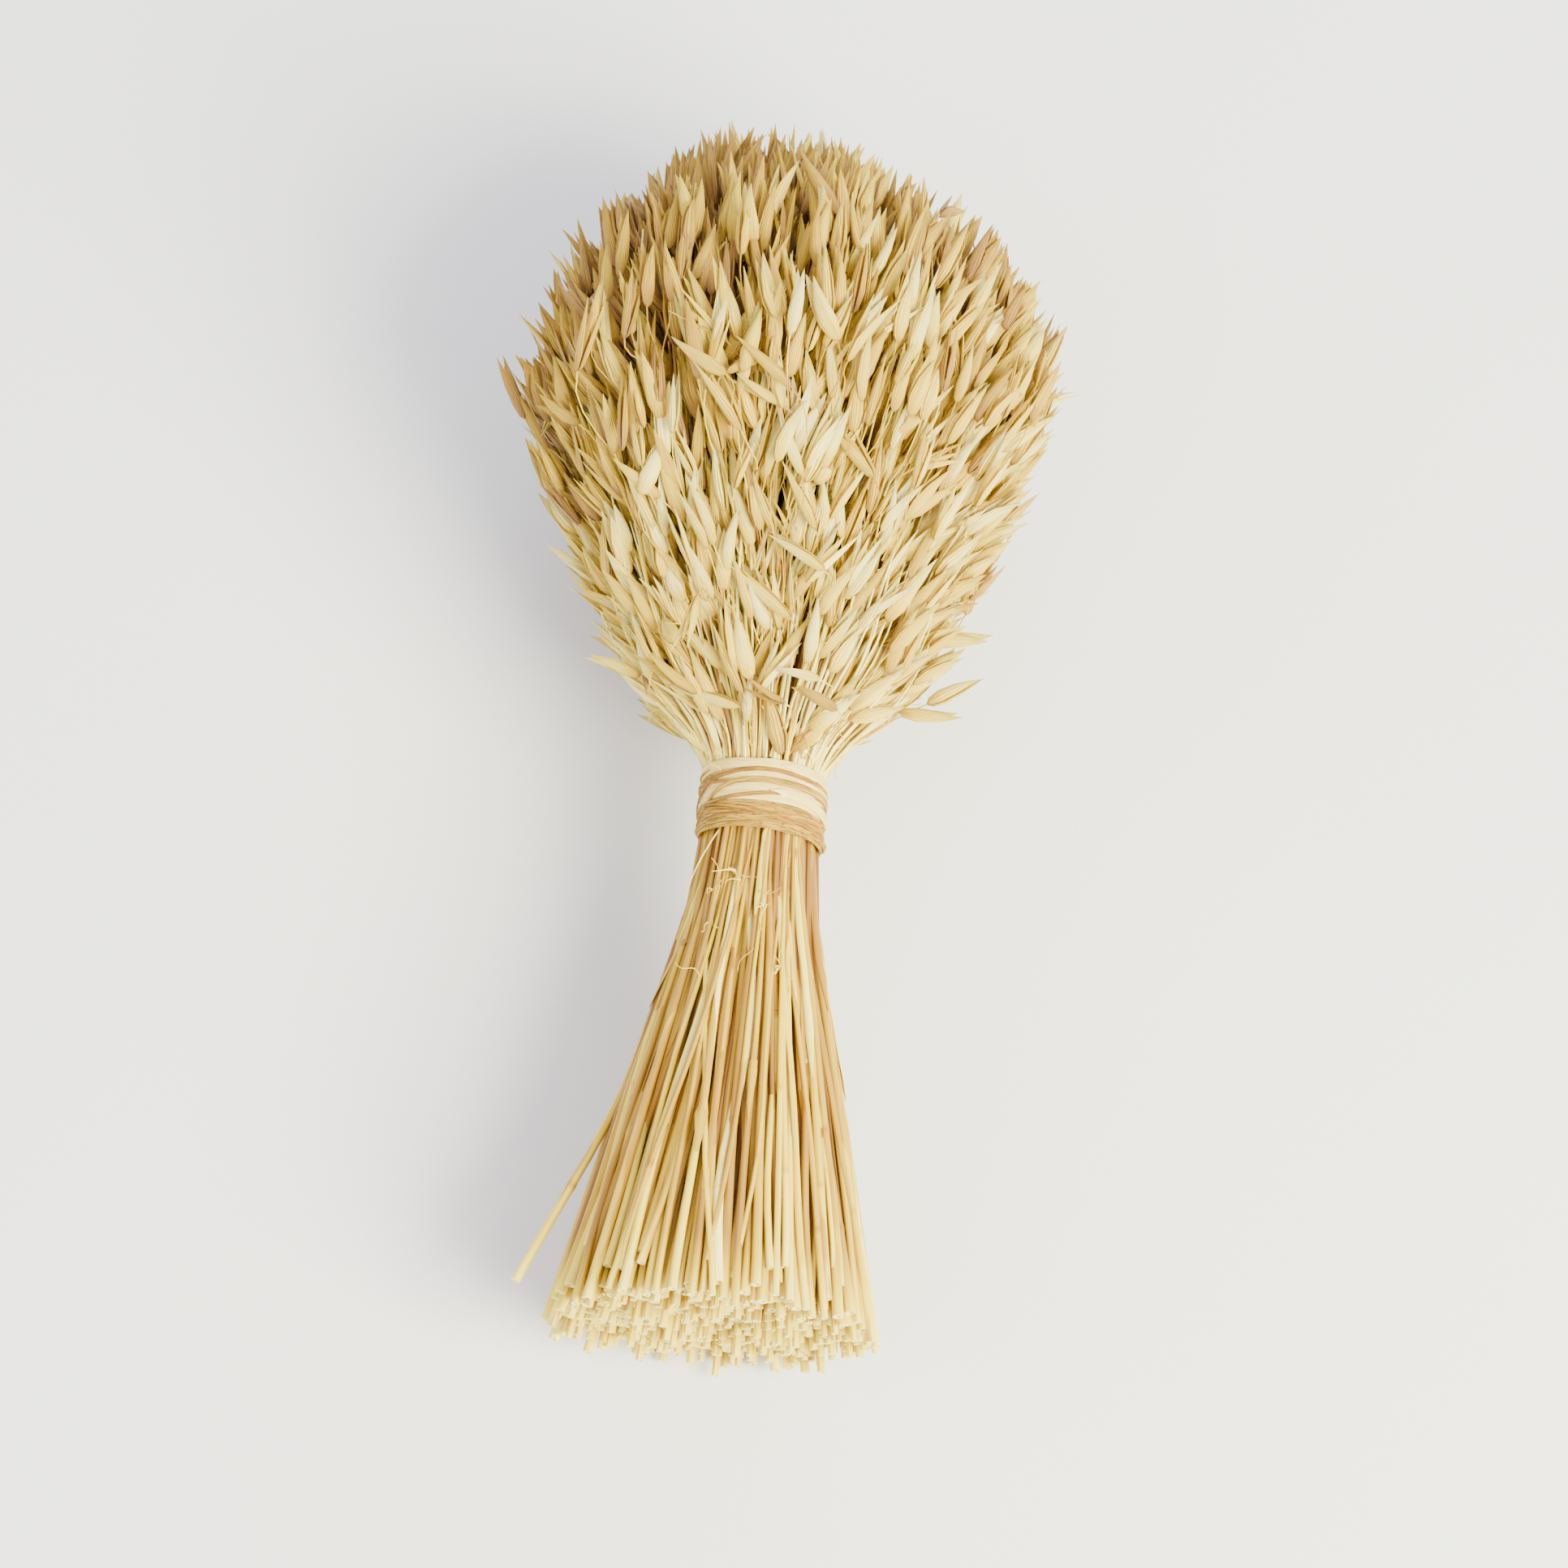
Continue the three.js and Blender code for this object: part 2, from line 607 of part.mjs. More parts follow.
const ribbonInside = WAIST_RADIUS + 0.75;
const strandInside = ribbonInside + RIBBON_THICKNESS + 0.75;
const strandFrom = RIBBON_FROM + RIBBON_PITCH - STRAND_WIDTH / 2;
const ribbon = wound(RIBBON_FROM, RIBBON_TURNS, RIBBON_WIDTH, ribbonInside, RIBBON_THICKNESS);
const strand = wound(strandFrom, RIBBON_TURNS - 0.4, STRAND_WIDTH, strandInside, STRAND_THICKNESS);
addPart("tie_ribbon", fuse([ribbon]), hsl(0.12, 0.55, 0.84), 0.7);
addPart("tie_strand", fuse([strand]), hsl(0.1, 0.5, 0.6), 0.6);
addPart("tie_wrap", fuse([wrap(WRAP_STEPS)]), hsl(0.095, 0.45, 0.62), 0.6);

// The bundle rests on the floor, centred on its own box
const box = new THREE.Box3().setFromObject(bundle);
const centre = box.getCenter(new THREE.Vector3());
bundle.children.forEach((part) => part.geometry.translate(-centre.x, -centre.y, -box.min.z));

export default bundle;
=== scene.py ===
from math import cos, pi, radians, sin

import bpy
import numpy as np
from mathutils import Matrix, Vector


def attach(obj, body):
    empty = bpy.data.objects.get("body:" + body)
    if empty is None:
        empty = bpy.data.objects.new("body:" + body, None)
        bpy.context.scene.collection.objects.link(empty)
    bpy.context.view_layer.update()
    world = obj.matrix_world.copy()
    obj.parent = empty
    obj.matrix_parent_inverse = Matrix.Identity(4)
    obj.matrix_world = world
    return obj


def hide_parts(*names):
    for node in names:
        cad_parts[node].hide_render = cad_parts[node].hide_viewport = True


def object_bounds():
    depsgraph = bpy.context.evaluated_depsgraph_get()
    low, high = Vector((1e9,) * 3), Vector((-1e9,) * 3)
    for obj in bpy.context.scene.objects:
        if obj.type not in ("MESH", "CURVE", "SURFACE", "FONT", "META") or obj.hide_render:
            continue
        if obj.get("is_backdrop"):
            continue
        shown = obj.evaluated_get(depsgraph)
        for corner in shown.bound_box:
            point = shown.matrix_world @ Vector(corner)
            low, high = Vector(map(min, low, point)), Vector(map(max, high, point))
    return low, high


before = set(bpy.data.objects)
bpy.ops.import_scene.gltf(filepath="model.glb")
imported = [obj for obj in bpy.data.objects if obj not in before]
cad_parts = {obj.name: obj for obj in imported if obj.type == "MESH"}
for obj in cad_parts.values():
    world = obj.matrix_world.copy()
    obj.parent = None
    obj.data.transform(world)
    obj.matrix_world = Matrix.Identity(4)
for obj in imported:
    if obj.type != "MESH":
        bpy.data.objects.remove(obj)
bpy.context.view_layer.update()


# The bundle lies on a pale table, cut ends toward -Y and heads toward +Y. It is drawn in its own
# space first: across, along from the cut ends, and up from its axis, in millimetres.

TIE_AT = 195
WAIST = 21.5
WIDEST_AT = 367
AXIS_HEIGHT = 57
RISE = radians(4.7)
WAIST_DRIFT = 3.4
MIDDLE_OF_BOX = np.array([-1.263, 229.316, 0])


def lay(points):
    """Bundle space to the table, in metres: the waist is moved across by a share that falls to none
    at the cut ends, the axis is raised and turned up by its rise, and the box's middle is taken off."""
    across, along, up = np.moveaxis(np.asarray(points, float), -1, 0)
    below = along / TIE_AT
    above = 1 - (along - TIE_AT) / (WIDEST_AT - TIE_AT)
    placed = np.stack([
        across + WAIST_DRIFT * np.where(along < TIE_AT, below, above),
        along * cos(RISE) - up * sin(RISE),
        np.maximum(AXIS_HEIGHT + along * sin(RISE) + up * cos(RISE), 0.15),
    ], -1)
    return (placed - MIDDLE_OF_BOX) / 1000


def polar(radius, angle, along):
    """Point in bundle space at a radius and an angle round the axis, 0 to the right and pi/2 up."""
    return np.stack(np.broadcast_arrays(radius * np.cos(angle), along, radius * np.sin(angle)), -1)


# The view: from above and a little from the cut ends, through a long lens, turned so that the
# heads lean to the right. Soft light comes from the right, with faint lamps to the left and behind
# the heads.

LENS = 135
DISTANCE = 2.17
SEEN_FROM_CUT_ENDS = radians(17.5)
TURNED = radians(4.5)

axis = Vector((0, cos(RISE), sin(RISE)))
upward = Vector((0, -sin(RISE), cos(RISE)))
back = upward * cos(SEEN_FROM_CUT_ENDS) - axis * sin(SEEN_FROM_CUT_ENDS)
picture_axis = axis * cos(SEEN_FROM_CUT_ENDS) + upward * sin(SEEN_FROM_CUT_ENDS)
across = Vector((1, 0, 0))
picture_up = picture_axis * cos(TURNED) - across * sin(TURNED)
picture_right = across * cos(TURNED) + picture_axis * sin(TURNED)
aim = Vector(lay([0, 203, 0])) + picture_right * 0.0078 + picture_up * 0.0057

camera = bpy.data.objects.new("camera", bpy.data.cameras.new("camera"))
bpy.context.scene.collection.objects.link(camera)
camera.data.lens = LENS
camera.data.sensor_width = 36
camera.data.clip_end = 50
turn = Matrix((picture_right, picture_up, back)).transposed().to_4x4()
camera.matrix_world = Matrix.Translation(aim + back * DISTANCE) @ turn
bpy.context.scene.camera = camera


def lamp(name, place, size, power, colour):
    """Square soft light at a place in metres, turned toward the bundle."""
    light = bpy.data.lights.new(name, "AREA")
    light.size = size
    light.energy = power
    light.color = colour
    holder = bpy.data.objects.new(name, light)
    holder.location = place
    holder.rotation_euler = (Vector((0, 0, 0.08)) - Vector(place)).to_track_quat("-Z", "Y").to_euler()
    bpy.context.scene.collection.objects.link(holder)


lamp("key_light", (1.3, -1.0, 1.7), 1.3, 232, (1, 0.955, 0.63))
lamp("fill_light", (-1.6, -0.9, 1.6), 1.8, 26, (1, 0.97, 0.8))
lamp("back_light", (0.3, 1.9, 1.3), 1.6, 30, (1, 0.96, 0.8))

world = bpy.data.worlds.new("studio")
world.use_nodes = True
world.node_tree.nodes["Background"].inputs["Color"].default_value = (1, 0.975, 0.98, 1)
world.node_tree.nodes["Background"].inputs["Strength"].default_value = 1.35
bpy.context.scene.world = world


class Finish:
    """A socket in a material's nodes. Arithmetic on it adds Math nodes, and node() any other node."""

    def __init__(self, tree, socket=None):
        self.tree = tree
        self.socket = socket

    def node(self, kind, settings=None, inputs=None, stops=None, out=0):
        made = self.tree.nodes.new(kind)
        for name, value in (settings or {}).items():
            setattr(made, name, value)
        if stops:
            ends = made.color_ramp.elements
            for element, (place, colour) in ((ends[0], stops[0]), (ends[1], stops[-1])):
                element.position = place
                element.color = colour
            for place, colour in stops[1:-1]:
                ends.new(place).color = colour
        for name, value in (inputs or {}).items():
            if isinstance(value, Finish):
                self.tree.links.new(value.socket, made.inputs[name])
            else:
                made.inputs[name].default_value = value
        return Finish(self.tree, made.outputs[out])

    def sum(self, operation, first, second=0.0):
        return self.node("ShaderNodeMath", {"operation": operation}, {0: first, 1: second})

    def __add__(self, other):
        return self.sum("ADD", self, other)

    def __sub__(self, other):
        return self.sum("SUBTRACT", self, other)

    def __rsub__(self, other):
        return self.sum("SUBTRACT", other, self)

    def __mul__(self, other):
        return self.sum("MULTIPLY", self, other)

    def __pow__(self, other):
        return self.sum("POWER", self, other)

    def __abs__(self):
        return self.sum("ABSOLUTE", self)

    __radd__ = __add__
    __rmul__ = __mul__

    def attribute(self, name, out):
        return self.node("ShaderNodeAttribute", {"attribute_name": name}, out=out)

    def part(self, out):
        return self.node("ShaderNodeSeparateXYZ", inputs={"Vector": self}, out=out)

    def noise(self, place, stretch, scale, detail=2):
        spread = self.node("ShaderNodeMapping", inputs={"Vector": place, "Scale": stretch})
        return self.node("ShaderNodeTexNoise", inputs={"Vector": spread, "Scale": scale, "Detail": detail})

    def ramp(self, value, *stops):
        return self.node("ShaderNodeValToRGB", inputs={"Fac": value}, stops=stops)

    def fade(self, value, low, high):
        """0 below low, 1 above high, and straight between; low may be above high."""
        return self.node("ShaderNodeMapRange", inputs={"Value": value, "From Min": low, "From Max": high})

    def blend(self, factor, first, second, way="MIX"):
        mixed = self.tree.nodes.new("ShaderNodeMix")
        mixed.data_type = "RGBA"
        mixed.blend_type = way
        for socket, value in ((mixed.inputs[0], factor), (mixed.inputs[6], first), (mixed.inputs[7], second)):
            if isinstance(value, Finish):
                self.tree.links.new(value.socket, socket)
            else:
                socket.default_value = value
        return Finish(self.tree, mixed.outputs[2])


def dye(red, green, blue):
    """Colour as seen, in 0 to 255, to the shader's linear colour."""
    seen = np.array([red, green, blue]) / 255
    return (*np.where(seen < 0.04045, seen / 12.92, ((seen + 0.055) / 1.055) ** 2.4).tolist(), 1)


def material(name):
    """A new material, its node starter and its shader."""
    made = bpy.data.materials.new(name)
    made.use_nodes = True
    return made, Finish(made.node_tree), made.node_tree.nodes["Principled BSDF"]


def feed(start, shader, colour=None, roughness=None, height=None, depth=0.0002, strength=0.6):
    """Links a colour, a roughness and a bump height, in metres of depth, to the shader."""
    if colour:
        start.tree.links.new(colour.socket, shader.inputs["Base Color"])
    if roughness:
        start.tree.links.new(roughness.socket, shader.inputs["Roughness"])
    if height:
        settings = {"Height": height, "Distance": depth, "Strength": strength}
        bump = start.node("ShaderNodeBump", inputs=settings)
        start.tree.links.new(bump.socket, shader.inputs["Normal"])


table = bpy.data.meshes.new("table")
table.from_pydata([(-6, -6, 0), (6, -6, 0), (6, 6, 0), (-6, 6, 0)], [], [(0, 1, 2, 3)])
table_top = bpy.data.objects.new("table_top", table)
bpy.context.scene.collection.objects.link(table_top)
paint, start, shader = material("table_paint")
spot = start.node("ShaderNodeTexCoord", out=3)
faint = start.noise(spot, (1, 1, 1), 4)
feed(start, shader, start.ramp(faint, (0.3, (0.77, 0.79, 0.91, 1)), (0.7, (0.79, 0.81, 0.93, 1))))
shader.inputs["Roughness"].default_value = 0.8
table.materials.append(paint)
table_top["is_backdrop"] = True


# What every piece is made from: rings carried along paths, joined into one mesh.

GOLDEN_ANGLE = pi * (3 - 5 ** 0.5)
FLARE = 0.235
FLARE_FROM = 181.5
FLARE_EASE = 8
# Ways that no straw and no thread runs in, which set how their rings are turned
STRAW_FACING = np.array([0.2, 0.1, 1.0])
THREAD_FACING = np.array([0.3, 0.12, 1.0])


def skirt_radius(along):
    """Radius outside the straws: the waist plus a straight flare that eases in below the tie."""
    down = np.maximum(0, FLARE_FROM - along)
    return WAIST + FLARE * (down - FLARE_EASE * (1 - np.exp(-down / FLARE_EASE)))


def pressed(points, radius):
    """Points under the axis drawn up in proportion, where the bundle's radius is more than its
    axis is high over the table."""
    high = (AXIS_HEIGHT + points[..., 1] * sin(RISE)) / cos(RISE)
    share = np.where(points[..., 2] < 0, np.minimum(1, high / np.maximum(radius, 1)), 1)
    return np.stack([points[..., 0], points[..., 1], points[..., 2] * share], -1)


def unit(vectors):
    """Vectors of length one."""
    return vectors / np.maximum(np.linalg.norm(vectors, axis=-1, keepdims=True), 1e-9)


def swept(path, outline, facing):
    """Rings carried along paths: path + x * side + y * other, where side is square to the path and
    to the way that the outline's y faces, and other is square to both."""
    tangent = unit(np.gradient(path, axis=1))
    side = unit(np.cross(facing, tangent))
    other = np.cross(tangent, side)
    return path[:, :, None] + outline[..., :1] * side[:, :, None] + outline[..., 1:] * other[:, :, None]


def round_outline(radius, sides):
    """Circle of the given radius at each station."""
    turn = 2 * pi * np.arange(sides) / sides
    return radius[..., None, None] * np.stack([np.cos(turn), np.sin(turn)], -1)


def straw_grain(rng, rings, radius):
    """Place in the grain round a straw and along it, with a start of its own for each straw."""
    count, _, sides, _ = rings.shape
    turn = 2 * pi * np.arange(sides) / sides
    start_at = rng.uniform(0, 400, (count, 1, 1))
    return np.stack(np.broadcast_arrays(
        radius * np.cos(turn) + start_at, radius * np.sin(turn), rings[..., 1],
    ), -1)


def curve(first, second, third, fourth, steps):
    """Cubic Bezier curves through rows of four points."""
    t = np.linspace(0, 1, steps)[:, None]
    return (
        first[:, None] * (1 - t) ** 3 + 3 * second[:, None] * t * (1 - t) ** 2
        + 3 * third[:, None] * t * t * (1 - t) + fourth[:, None] * t ** 3
    )


def piece(name, parts, finish, nodes=(), crease=55):
    """One mesh from sets of rings (bodies x stations x corners): quads between the stations and a
    flat face at each end. Each set brings a place in its own grain and a tone, kept as attributes."""
    points, corners, counts, grains, tones = [], [], [], [], []
    first = 0
    for rings, grain, tone in parts:
        shape = rings.shape[:3]
        index = first + np.arange(np.prod(shape)).reshape(shape)
        here, there = index[:, :-1], index[:, 1:]
        quads = np.stack([here, np.roll(here, -1, 2), np.roll(there, -1, 2), there], -1).reshape(-1, 4)
        ends = np.concatenate([index[:, 0, ::-1], index[:, -1]])
        corners += [quads.ravel(), ends.ravel()]
        counts += [np.full(len(quads), 4), np.full(len(ends), shape[2])]
        points.append(rings.reshape(-1, 3))
        grains.append(np.broadcast_to(grain, shape + (3,)).reshape(-1, 3))
        tones.append(np.broadcast_to(tone, shape).reshape(-1))
        first += np.prod(shape)
    corners, counts = np.concatenate(corners), np.concatenate(counts)
    mesh = bpy.data.meshes.new(name)
    mesh.vertices.add(first)
    mesh.vertices.foreach_set("co", lay(np.concatenate(points)).astype(np.float32).ravel())
    mesh.loops.add(len(corners))
    mesh.loops.foreach_set("vertex_index", corners.astype(np.int32))
    mesh.polygons.add(len(counts))
    mesh.polygons.foreach_set("loop_start", (np.cumsum(counts) - counts).astype(np.int32))
    mesh.update(calc_edges=True)
    mesh.validate()
    for label, kind, key, values in (
        ("grain", "FLOAT_VECTOR", "vector", np.concatenate(grains)),
        ("tone", "FLOAT", "value", np.concatenate(tones)),
    ):
        mesh.attributes.new(label, kind, "POINT").data.foreach_set(key, values.astype(np.float32).ravel())
    mesh.shade_smooth()
    mesh.set_sharp_from_angle(angle=radians(crease))
    mesh.materials.append(finish)
    made = bpy.data.objects.new(name, mesh)
    bpy.context.scene.collection.objects.link(made)
    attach(made, "root")
    if nodes:
        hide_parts(*nodes)
    return made


# The straws: some 860 cut oat stalks, hollow and golden, fanned out below the tie and cut off
# nearly level. Each bows a little and is thicker at its foot; a few lie across the others, and
# one lies apart on the left.

STRAWS_OUTSIDE = 104
STRAWS_ACROSS = 18
STRAWS_INSIDE = 740
STRAY_STRAW_ANGLE = 2.945
STRAY_FOOT_AT = 12.8
GAP_ANGLE = 2.32
UNDER_TIE = 206
HOLE_DEPTH = 3.5


def fanned(rng, foot_angle, spread, foot_at, stations, slant, jostle, proud=0.0):
    """Straws' paths from under the tie to their feet. The radius is a share of the fan's, with a
    bow; the angle slants away from the foot's toward the tie, and wavers on the way."""
    count = len(foot_angle)
    bow, sideways, waver, start_at, lean = rng.normal(0, 1, (5, count, 1))
    along = UNDER_TIE + (foot_at[:, None] - UNDER_TIE) * stations
    fan = (skirt_radius(along) - WAIST) / (skirt_radius(0) - WAIST)
    tie_share = np.where(spread > 0.9, 0.99 - 0.22 * rng.random(count), spread)[:, None]
    radius = (WAIST - 1.3) * tie_share * (1 - fan) + (skirt_radius(0) - 2) * spread[:, None] * fan
    arch = np.sin(pi * stations)
    sway = 1.5 * sideways * arch + waver * np.sin(3 * pi * stations + start_at)
    drift = sway * jostle / np.maximum(radius, 12)
    angle = foot_angle[:, None] + slant * lean * (1 - stations) ** 1.5 + drift
    radius = np.minimum(radius + 0.7 * bow * arch, skirt_radius(along) - 1.4) + proud * np.sqrt(arch)
    return polar(radius, angle, along)


def hollow_straws(rng, path, stations, joint_at, foot_radius, shade, sides, paler):
    """Tubes along the paths, thinner toward the tie and thicker at a joint, whose cut ends turn back
    into a hole: paths, radii and the set of rings, grain and tone. A joint past the end isn't drawn.
    Tones come near the paler one toward the cut end."""
    count = len(path)
    knuckle = 1 + 0.14 * np.exp(-((stations - joint_at[:, None]) / 0.007) ** 2)
    top = rng.uniform(0.42, 0.62, (count, 1))
    wall = foot_radius[:, None] * (top + (1 - top) * stations) * knuckle
    last = path[:, -1:] - path[:, -2:-1]
    cut_back = unit(last) * np.array([0.05, 0.05, -HOLE_DEPTH])[:, None]
    path = np.concatenate([path, path[:, -1:] + cut_back], 1)
    hole = rng.uniform(0.45, 0.7, (count, 1))
    wall = np.concatenate([wall, wall[:, -1:], wall[:, -1:] * hole, wall[:, -1:] * hole * 0.9], 1)
    tangent = unit(np.concatenate([np.gradient(path[:, :-3], axis=1), np.repeat(last, 3, 1)], 1))
    side = unit(np.cross(tangent, STRAW_FACING))
    turn = 2 * pi * np.arange(sides) / sides
    other = np.cross(tangent, side)
    ring = side[:, :, None] * np.cos(turn)[:, None] + other[:, :, None] * np.sin(turn)[:, None]
    rings = path[:, :, None] + wall[..., None, None] * ring
    tone = shade[:, None] + 0.14 * rng.normal(0, 1, (count, 1)) * (stations > joint_at[:, None])
    tone = np.where(knuckle > 1.1, tone - 0.2, tone)
    tone += (paler - tone) * np.interp(stations, [0.9, 0.95, 1], [0, 0.4, 0.8])
    cut_tone = np.array([1.15, 1.0, 0.6]) * np.ones((count, 1))
    tone = np.concatenate([tone, cut_tone], 1)[:, :, None]
    return path, wall, (rings, straw_grain(rng, rings, 1.9), tone)


def with_joint(even, joint_at):
    """Even stations with three more round the joint."""
    around = joint_at[:, None] + np.array([-0.012, 0, 0.012])
    return np.sort(np.concatenate([np.tile(even, (len(joint_at), 1)), around], 1), 1)


rng = np.random.default_rng(11)
outside = np.arange(STRAWS_OUTSIDE)
foot_angle = 2 * pi * (outside + 0.3 * rng.uniform(-1, 1, STRAWS_OUTSIDE)) / STRAWS_OUTSIDE
from_gap = foot_angle - GAP_ANGLE
foot_angle += 0.045 * np.sign(from_gap) * np.exp(-(from_gap / 0.12) ** 2)
spread = 1 - 0.02 * rng.random(STRAWS_OUTSIDE) - 0.04 * (outside % 2)
foot_radius = rng.uniform(1.3, 2.1, STRAWS_OUTSIDE)
foot_at = rng.normal(2.2, 2.2, STRAWS_OUTSIDE).clip(-1.5, 9)
cut_short = rng.random(STRAWS_OUTSIDE) < 0.3
foot_at[cut_short] += rng.uniform(3, 16, cut_short.sum())
joint_at = rng.uniform(0.12, 0.85, STRAWS_OUTSIDE)
even = np.append(np.linspace(0, 0.95, 15), 1)
stations = with_joint(even, joint_at)
path = fanned(rng, foot_angle, spread, foot_at, stations, slant=0.14, jostle=1.3)

stray = np.argmin(np.abs(foot_angle - STRAY_STRAW_ANGLE))
along = UNDER_TIE - (UNDER_TIE - STRAY_FOOT_AT) * stations[stray]
strays_by = np.interp(along, [STRAY_FOOT_AT, 70, 90], [13, 1, -1.5])
path[stray] = polar(skirt_radius(along) + strays_by, STRAY_STRAW_ANGLE + 0.05 * stations[stray], along)
path = pressed(path, skirt_radius(path[..., 1]))
shade = rng.normal(0.45, 0.28, STRAWS_OUTSIDE).clip(0.12, 0.95)
path, wall, outer_straws = hollow_straws(
    rng, path, stations, joint_at, foot_radius, shade, sides=8, paler=0.9,
)

rng = np.random.default_rng(12)
across_angle = rng.uniform(0, 2 * pi, STRAWS_ACROSS)
across_joint = rng.uniform(0.12, 0.85, STRAWS_ACROSS)
stations = with_joint(even, across_joint)
across_spread = np.full(STRAWS_ACROSS, 0.99)
across_foot = rng.uniform(2, 26, STRAWS_ACROSS)
across_path = fanned(
    rng, across_angle, across_spread, across_foot, stations, slant=0.42, jostle=1.0, proud=1.7,
)
across_path = pressed(across_path, skirt_radius(across_path[..., 1]))
shade = rng.normal(0.56, 0.2, STRAWS_ACROSS).clip(0.1, 0.95)
thick = rng.uniform(0.9, 1.5, STRAWS_ACROSS)
across_straws = hollow_straws(
    rng, across_path, stations, across_joint, thick, shade, sides=8, paler=0.9,
)[2]

rng = np.random.default_rng(13)
inside = np.arange(STRAWS_INSIDE)
inside_angle = inside * GOLDEN_ANGLE % (2 * pi)
inside_spread = 0.935 * np.sqrt((inside + 0.5) / STRAWS_INSIDE)
inside_foot = rng.normal(5.2, 2.6, STRAWS_INSIDE).clip(-0.5, 12)
stands_out = rng.random(STRAWS_INSIDE) < 0.025
inside_foot[stands_out] = rng.uniform(-4, -1.5, stands_out.sum())
stations = np.tile([0, 0.3, 0.6, 0.84, 0.95, 1], (STRAWS_INSIDE, 1))
inside_path = fanned(
    rng, inside_angle, inside_spread, inside_foot, stations, slant=0.1, jostle=1.0,
)
inside_path = pressed(inside_path, skirt_radius(inside_path[..., 1]))
# Painted shade: nearly half the inner straws get the darkest tone, and those behind the gap in the outer
# straws are darkened by a further 0.2, standing for the shade inside the bundle.
shaded_behind_gap = np.abs(inside_angle - GAP_ANGLE) < 0.13
painted_shade_inside = rng.random(STRAWS_INSIDE) < 0.45
shade = np.where(painted_shade_inside, 0, rng.normal(0.28, 0.1, STRAWS_INSIDE)) - 0.2 * shaded_behind_gap
thick = rng.uniform(1.05, 1.7, STRAWS_INSIDE)
past_the_end = np.full(STRAWS_INSIDE, 2)
inner_straws = hollow_straws(
    rng, inside_path, stations, past_the_end, thick, shade, sides=6, paler=1.0,
)[2]

straw_look, start, shader = material("dried_straw")
grain = start.attribute("grain", 1)
tone = start.attribute("tone", 2)
streak = start.noise(grain, (1, 1, 0.02), 0.7, 4)
thread = start.noise(grain, (1, 1, 0.025), 3.2, 3)
patch = start.noise(grain, (0.12, 0.12, 0.018), 1.0, 3)
shade = tone + (streak - 0.5) * 0.5 + (patch - 0.5) * 0.45
# The lowest stop is both the brown of dark straws and the painted shade of the hidden inner straws and stems.
golden = start.ramp(
    shade,
    (0.0, dye(147, 103, 46)), (0.18, dye(169, 129, 40)), (0.36, dye(198, 163, 37)),
    (0.55, dye(221, 191, 48)), (0.76, dye(241, 218, 74)), (1.0, dye(255, 245, 156)),
)
browned = start.blend(start.fade(patch, 0.57, 0.64) * 0.75, golden, dye(172, 116, 30))
lined = start.blend(start.fade(thread, 0.42, 0.7) * 0.4, browned, dye(212, 174, 96), "MULTIPLY")
feed(start, shader, lined, 0.6 - 0.25 * thread, thread + streak, 0.0002, 0.5)
shader.inputs["Specular IOR Level"].default_value = 0.4

straw_nodes = sorted(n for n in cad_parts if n.startswith("straws_"))
piece("straws", [outer_straws, across_straws], straw_look, straw_nodes)
piece("straws_inside", [inner_straws], straw_look)


# Dry leaf sheaths still cling to some of the outer straws: papery strips, brown or pale, wrapped
# half round a straw, pointed and torn at their ends.

SHEATHS = 72
SHEATH_STEPS = 11
SHEATH_CORNERS = 6
SHEATH_THICKNESS = 0.16

rng = np.random.default_rng(17)
host = rng.choice(np.delete(outside, stray), SHEATHS, replace=False)
steps = np.linspace(0, 1, SHEATH_STEPS)
top_at = rng.uniform(0.04, 0.5, (SHEATHS, 1))
stretch = rng.uniform(0.12, 0.45, (SHEATHS, 1))
spans = len(even) + 2
sample = (top_at + stretch * steps) * spans
whole = np.floor(sample).astype(int)
part_way = (sample - whole)[..., None]
centre = path[host[:, None], whole] * (1 - part_way) + path[host[:, None], whole + 1] * part_way
thick = wall[host[:, None], whole] + 0.28
outward = unit(centre * [1, 0, 1])
pointed = np.interp(steps, [0, 0.12, 0.75, 1], [0.25, 1, 1, 0.08])
torn = 1 + 0.12 * rng.normal(0, 1, (SHEATHS, SHEATH_STEPS))
half_turn = radians(80) * (pointed * torn).clip(0.1, 1.3)
twist = rng.normal(0, 0.6, (SHEATHS, 1)) + rng.normal(0, 0.5, (SHEATHS, 1)) * steps
loose = rng.random((SHEATHS, 1)) ** 3 * rng.uniform(0.3, 1.2, (SHEATHS, 1))
away = thick + loose * np.maximum(0, steps - 0.6) * 5
swing = np.linspace(-1, 1, SHEATH_CORNERS)
lean = half_turn[..., None] * np.concatenate([swing, swing[::-1]]) + twist[..., None]
reach_out = away[..., None] - np.repeat([0, SHEATH_THICKNESS], SHEATH_CORNERS)
outline = reach_out[..., None] * np.stack([np.sin(lean), np.cos(lean)], -1)
sheath_rings = swept(centre, outline, outward)[:, :, ::-1]
sheath_grain = straw_grain(rng, sheath_rings, 2.0)
sheath_tone = rng.choice([0.08, 0.14, 0.22, 0.35, 0.75, 0.9], SHEATHS)[:, None, None]
piece("leaf_sheaths", [(sheath_rings, sheath_grain, sheath_tone)], straw_look)


# Above the tie the same stalks go on, thinner, and fan out inside the heads: each one carries a
# loose panicle, whose branches and thin stalklets bear the spikelets.

STEMS_OUTSIDE = 150
STEMS_INSIDE = 420
STEM_SIDES = 5

# Reach of the spikelet tips: along the bundle, to the left and to the right, in mm
HEAD_LINE = np.array([
    [208, 22, 23], [216, 25, 26], [229, 36, 37], [241, 53, 54], [254, 64, 66], [266, 72, 72],
    [279, 77, 77], [304, 88, 88], [330, 97, 99], [342, 102, 102], [367, 107, 112], [380, 104, 111],
    [393, 95, 108], [405, 95, 104], [418, 91, 92], [430, 77, 75], [443, 59, 60], [456, 53, 28],
    [463, 38, 19], [470, 2, 2],
])


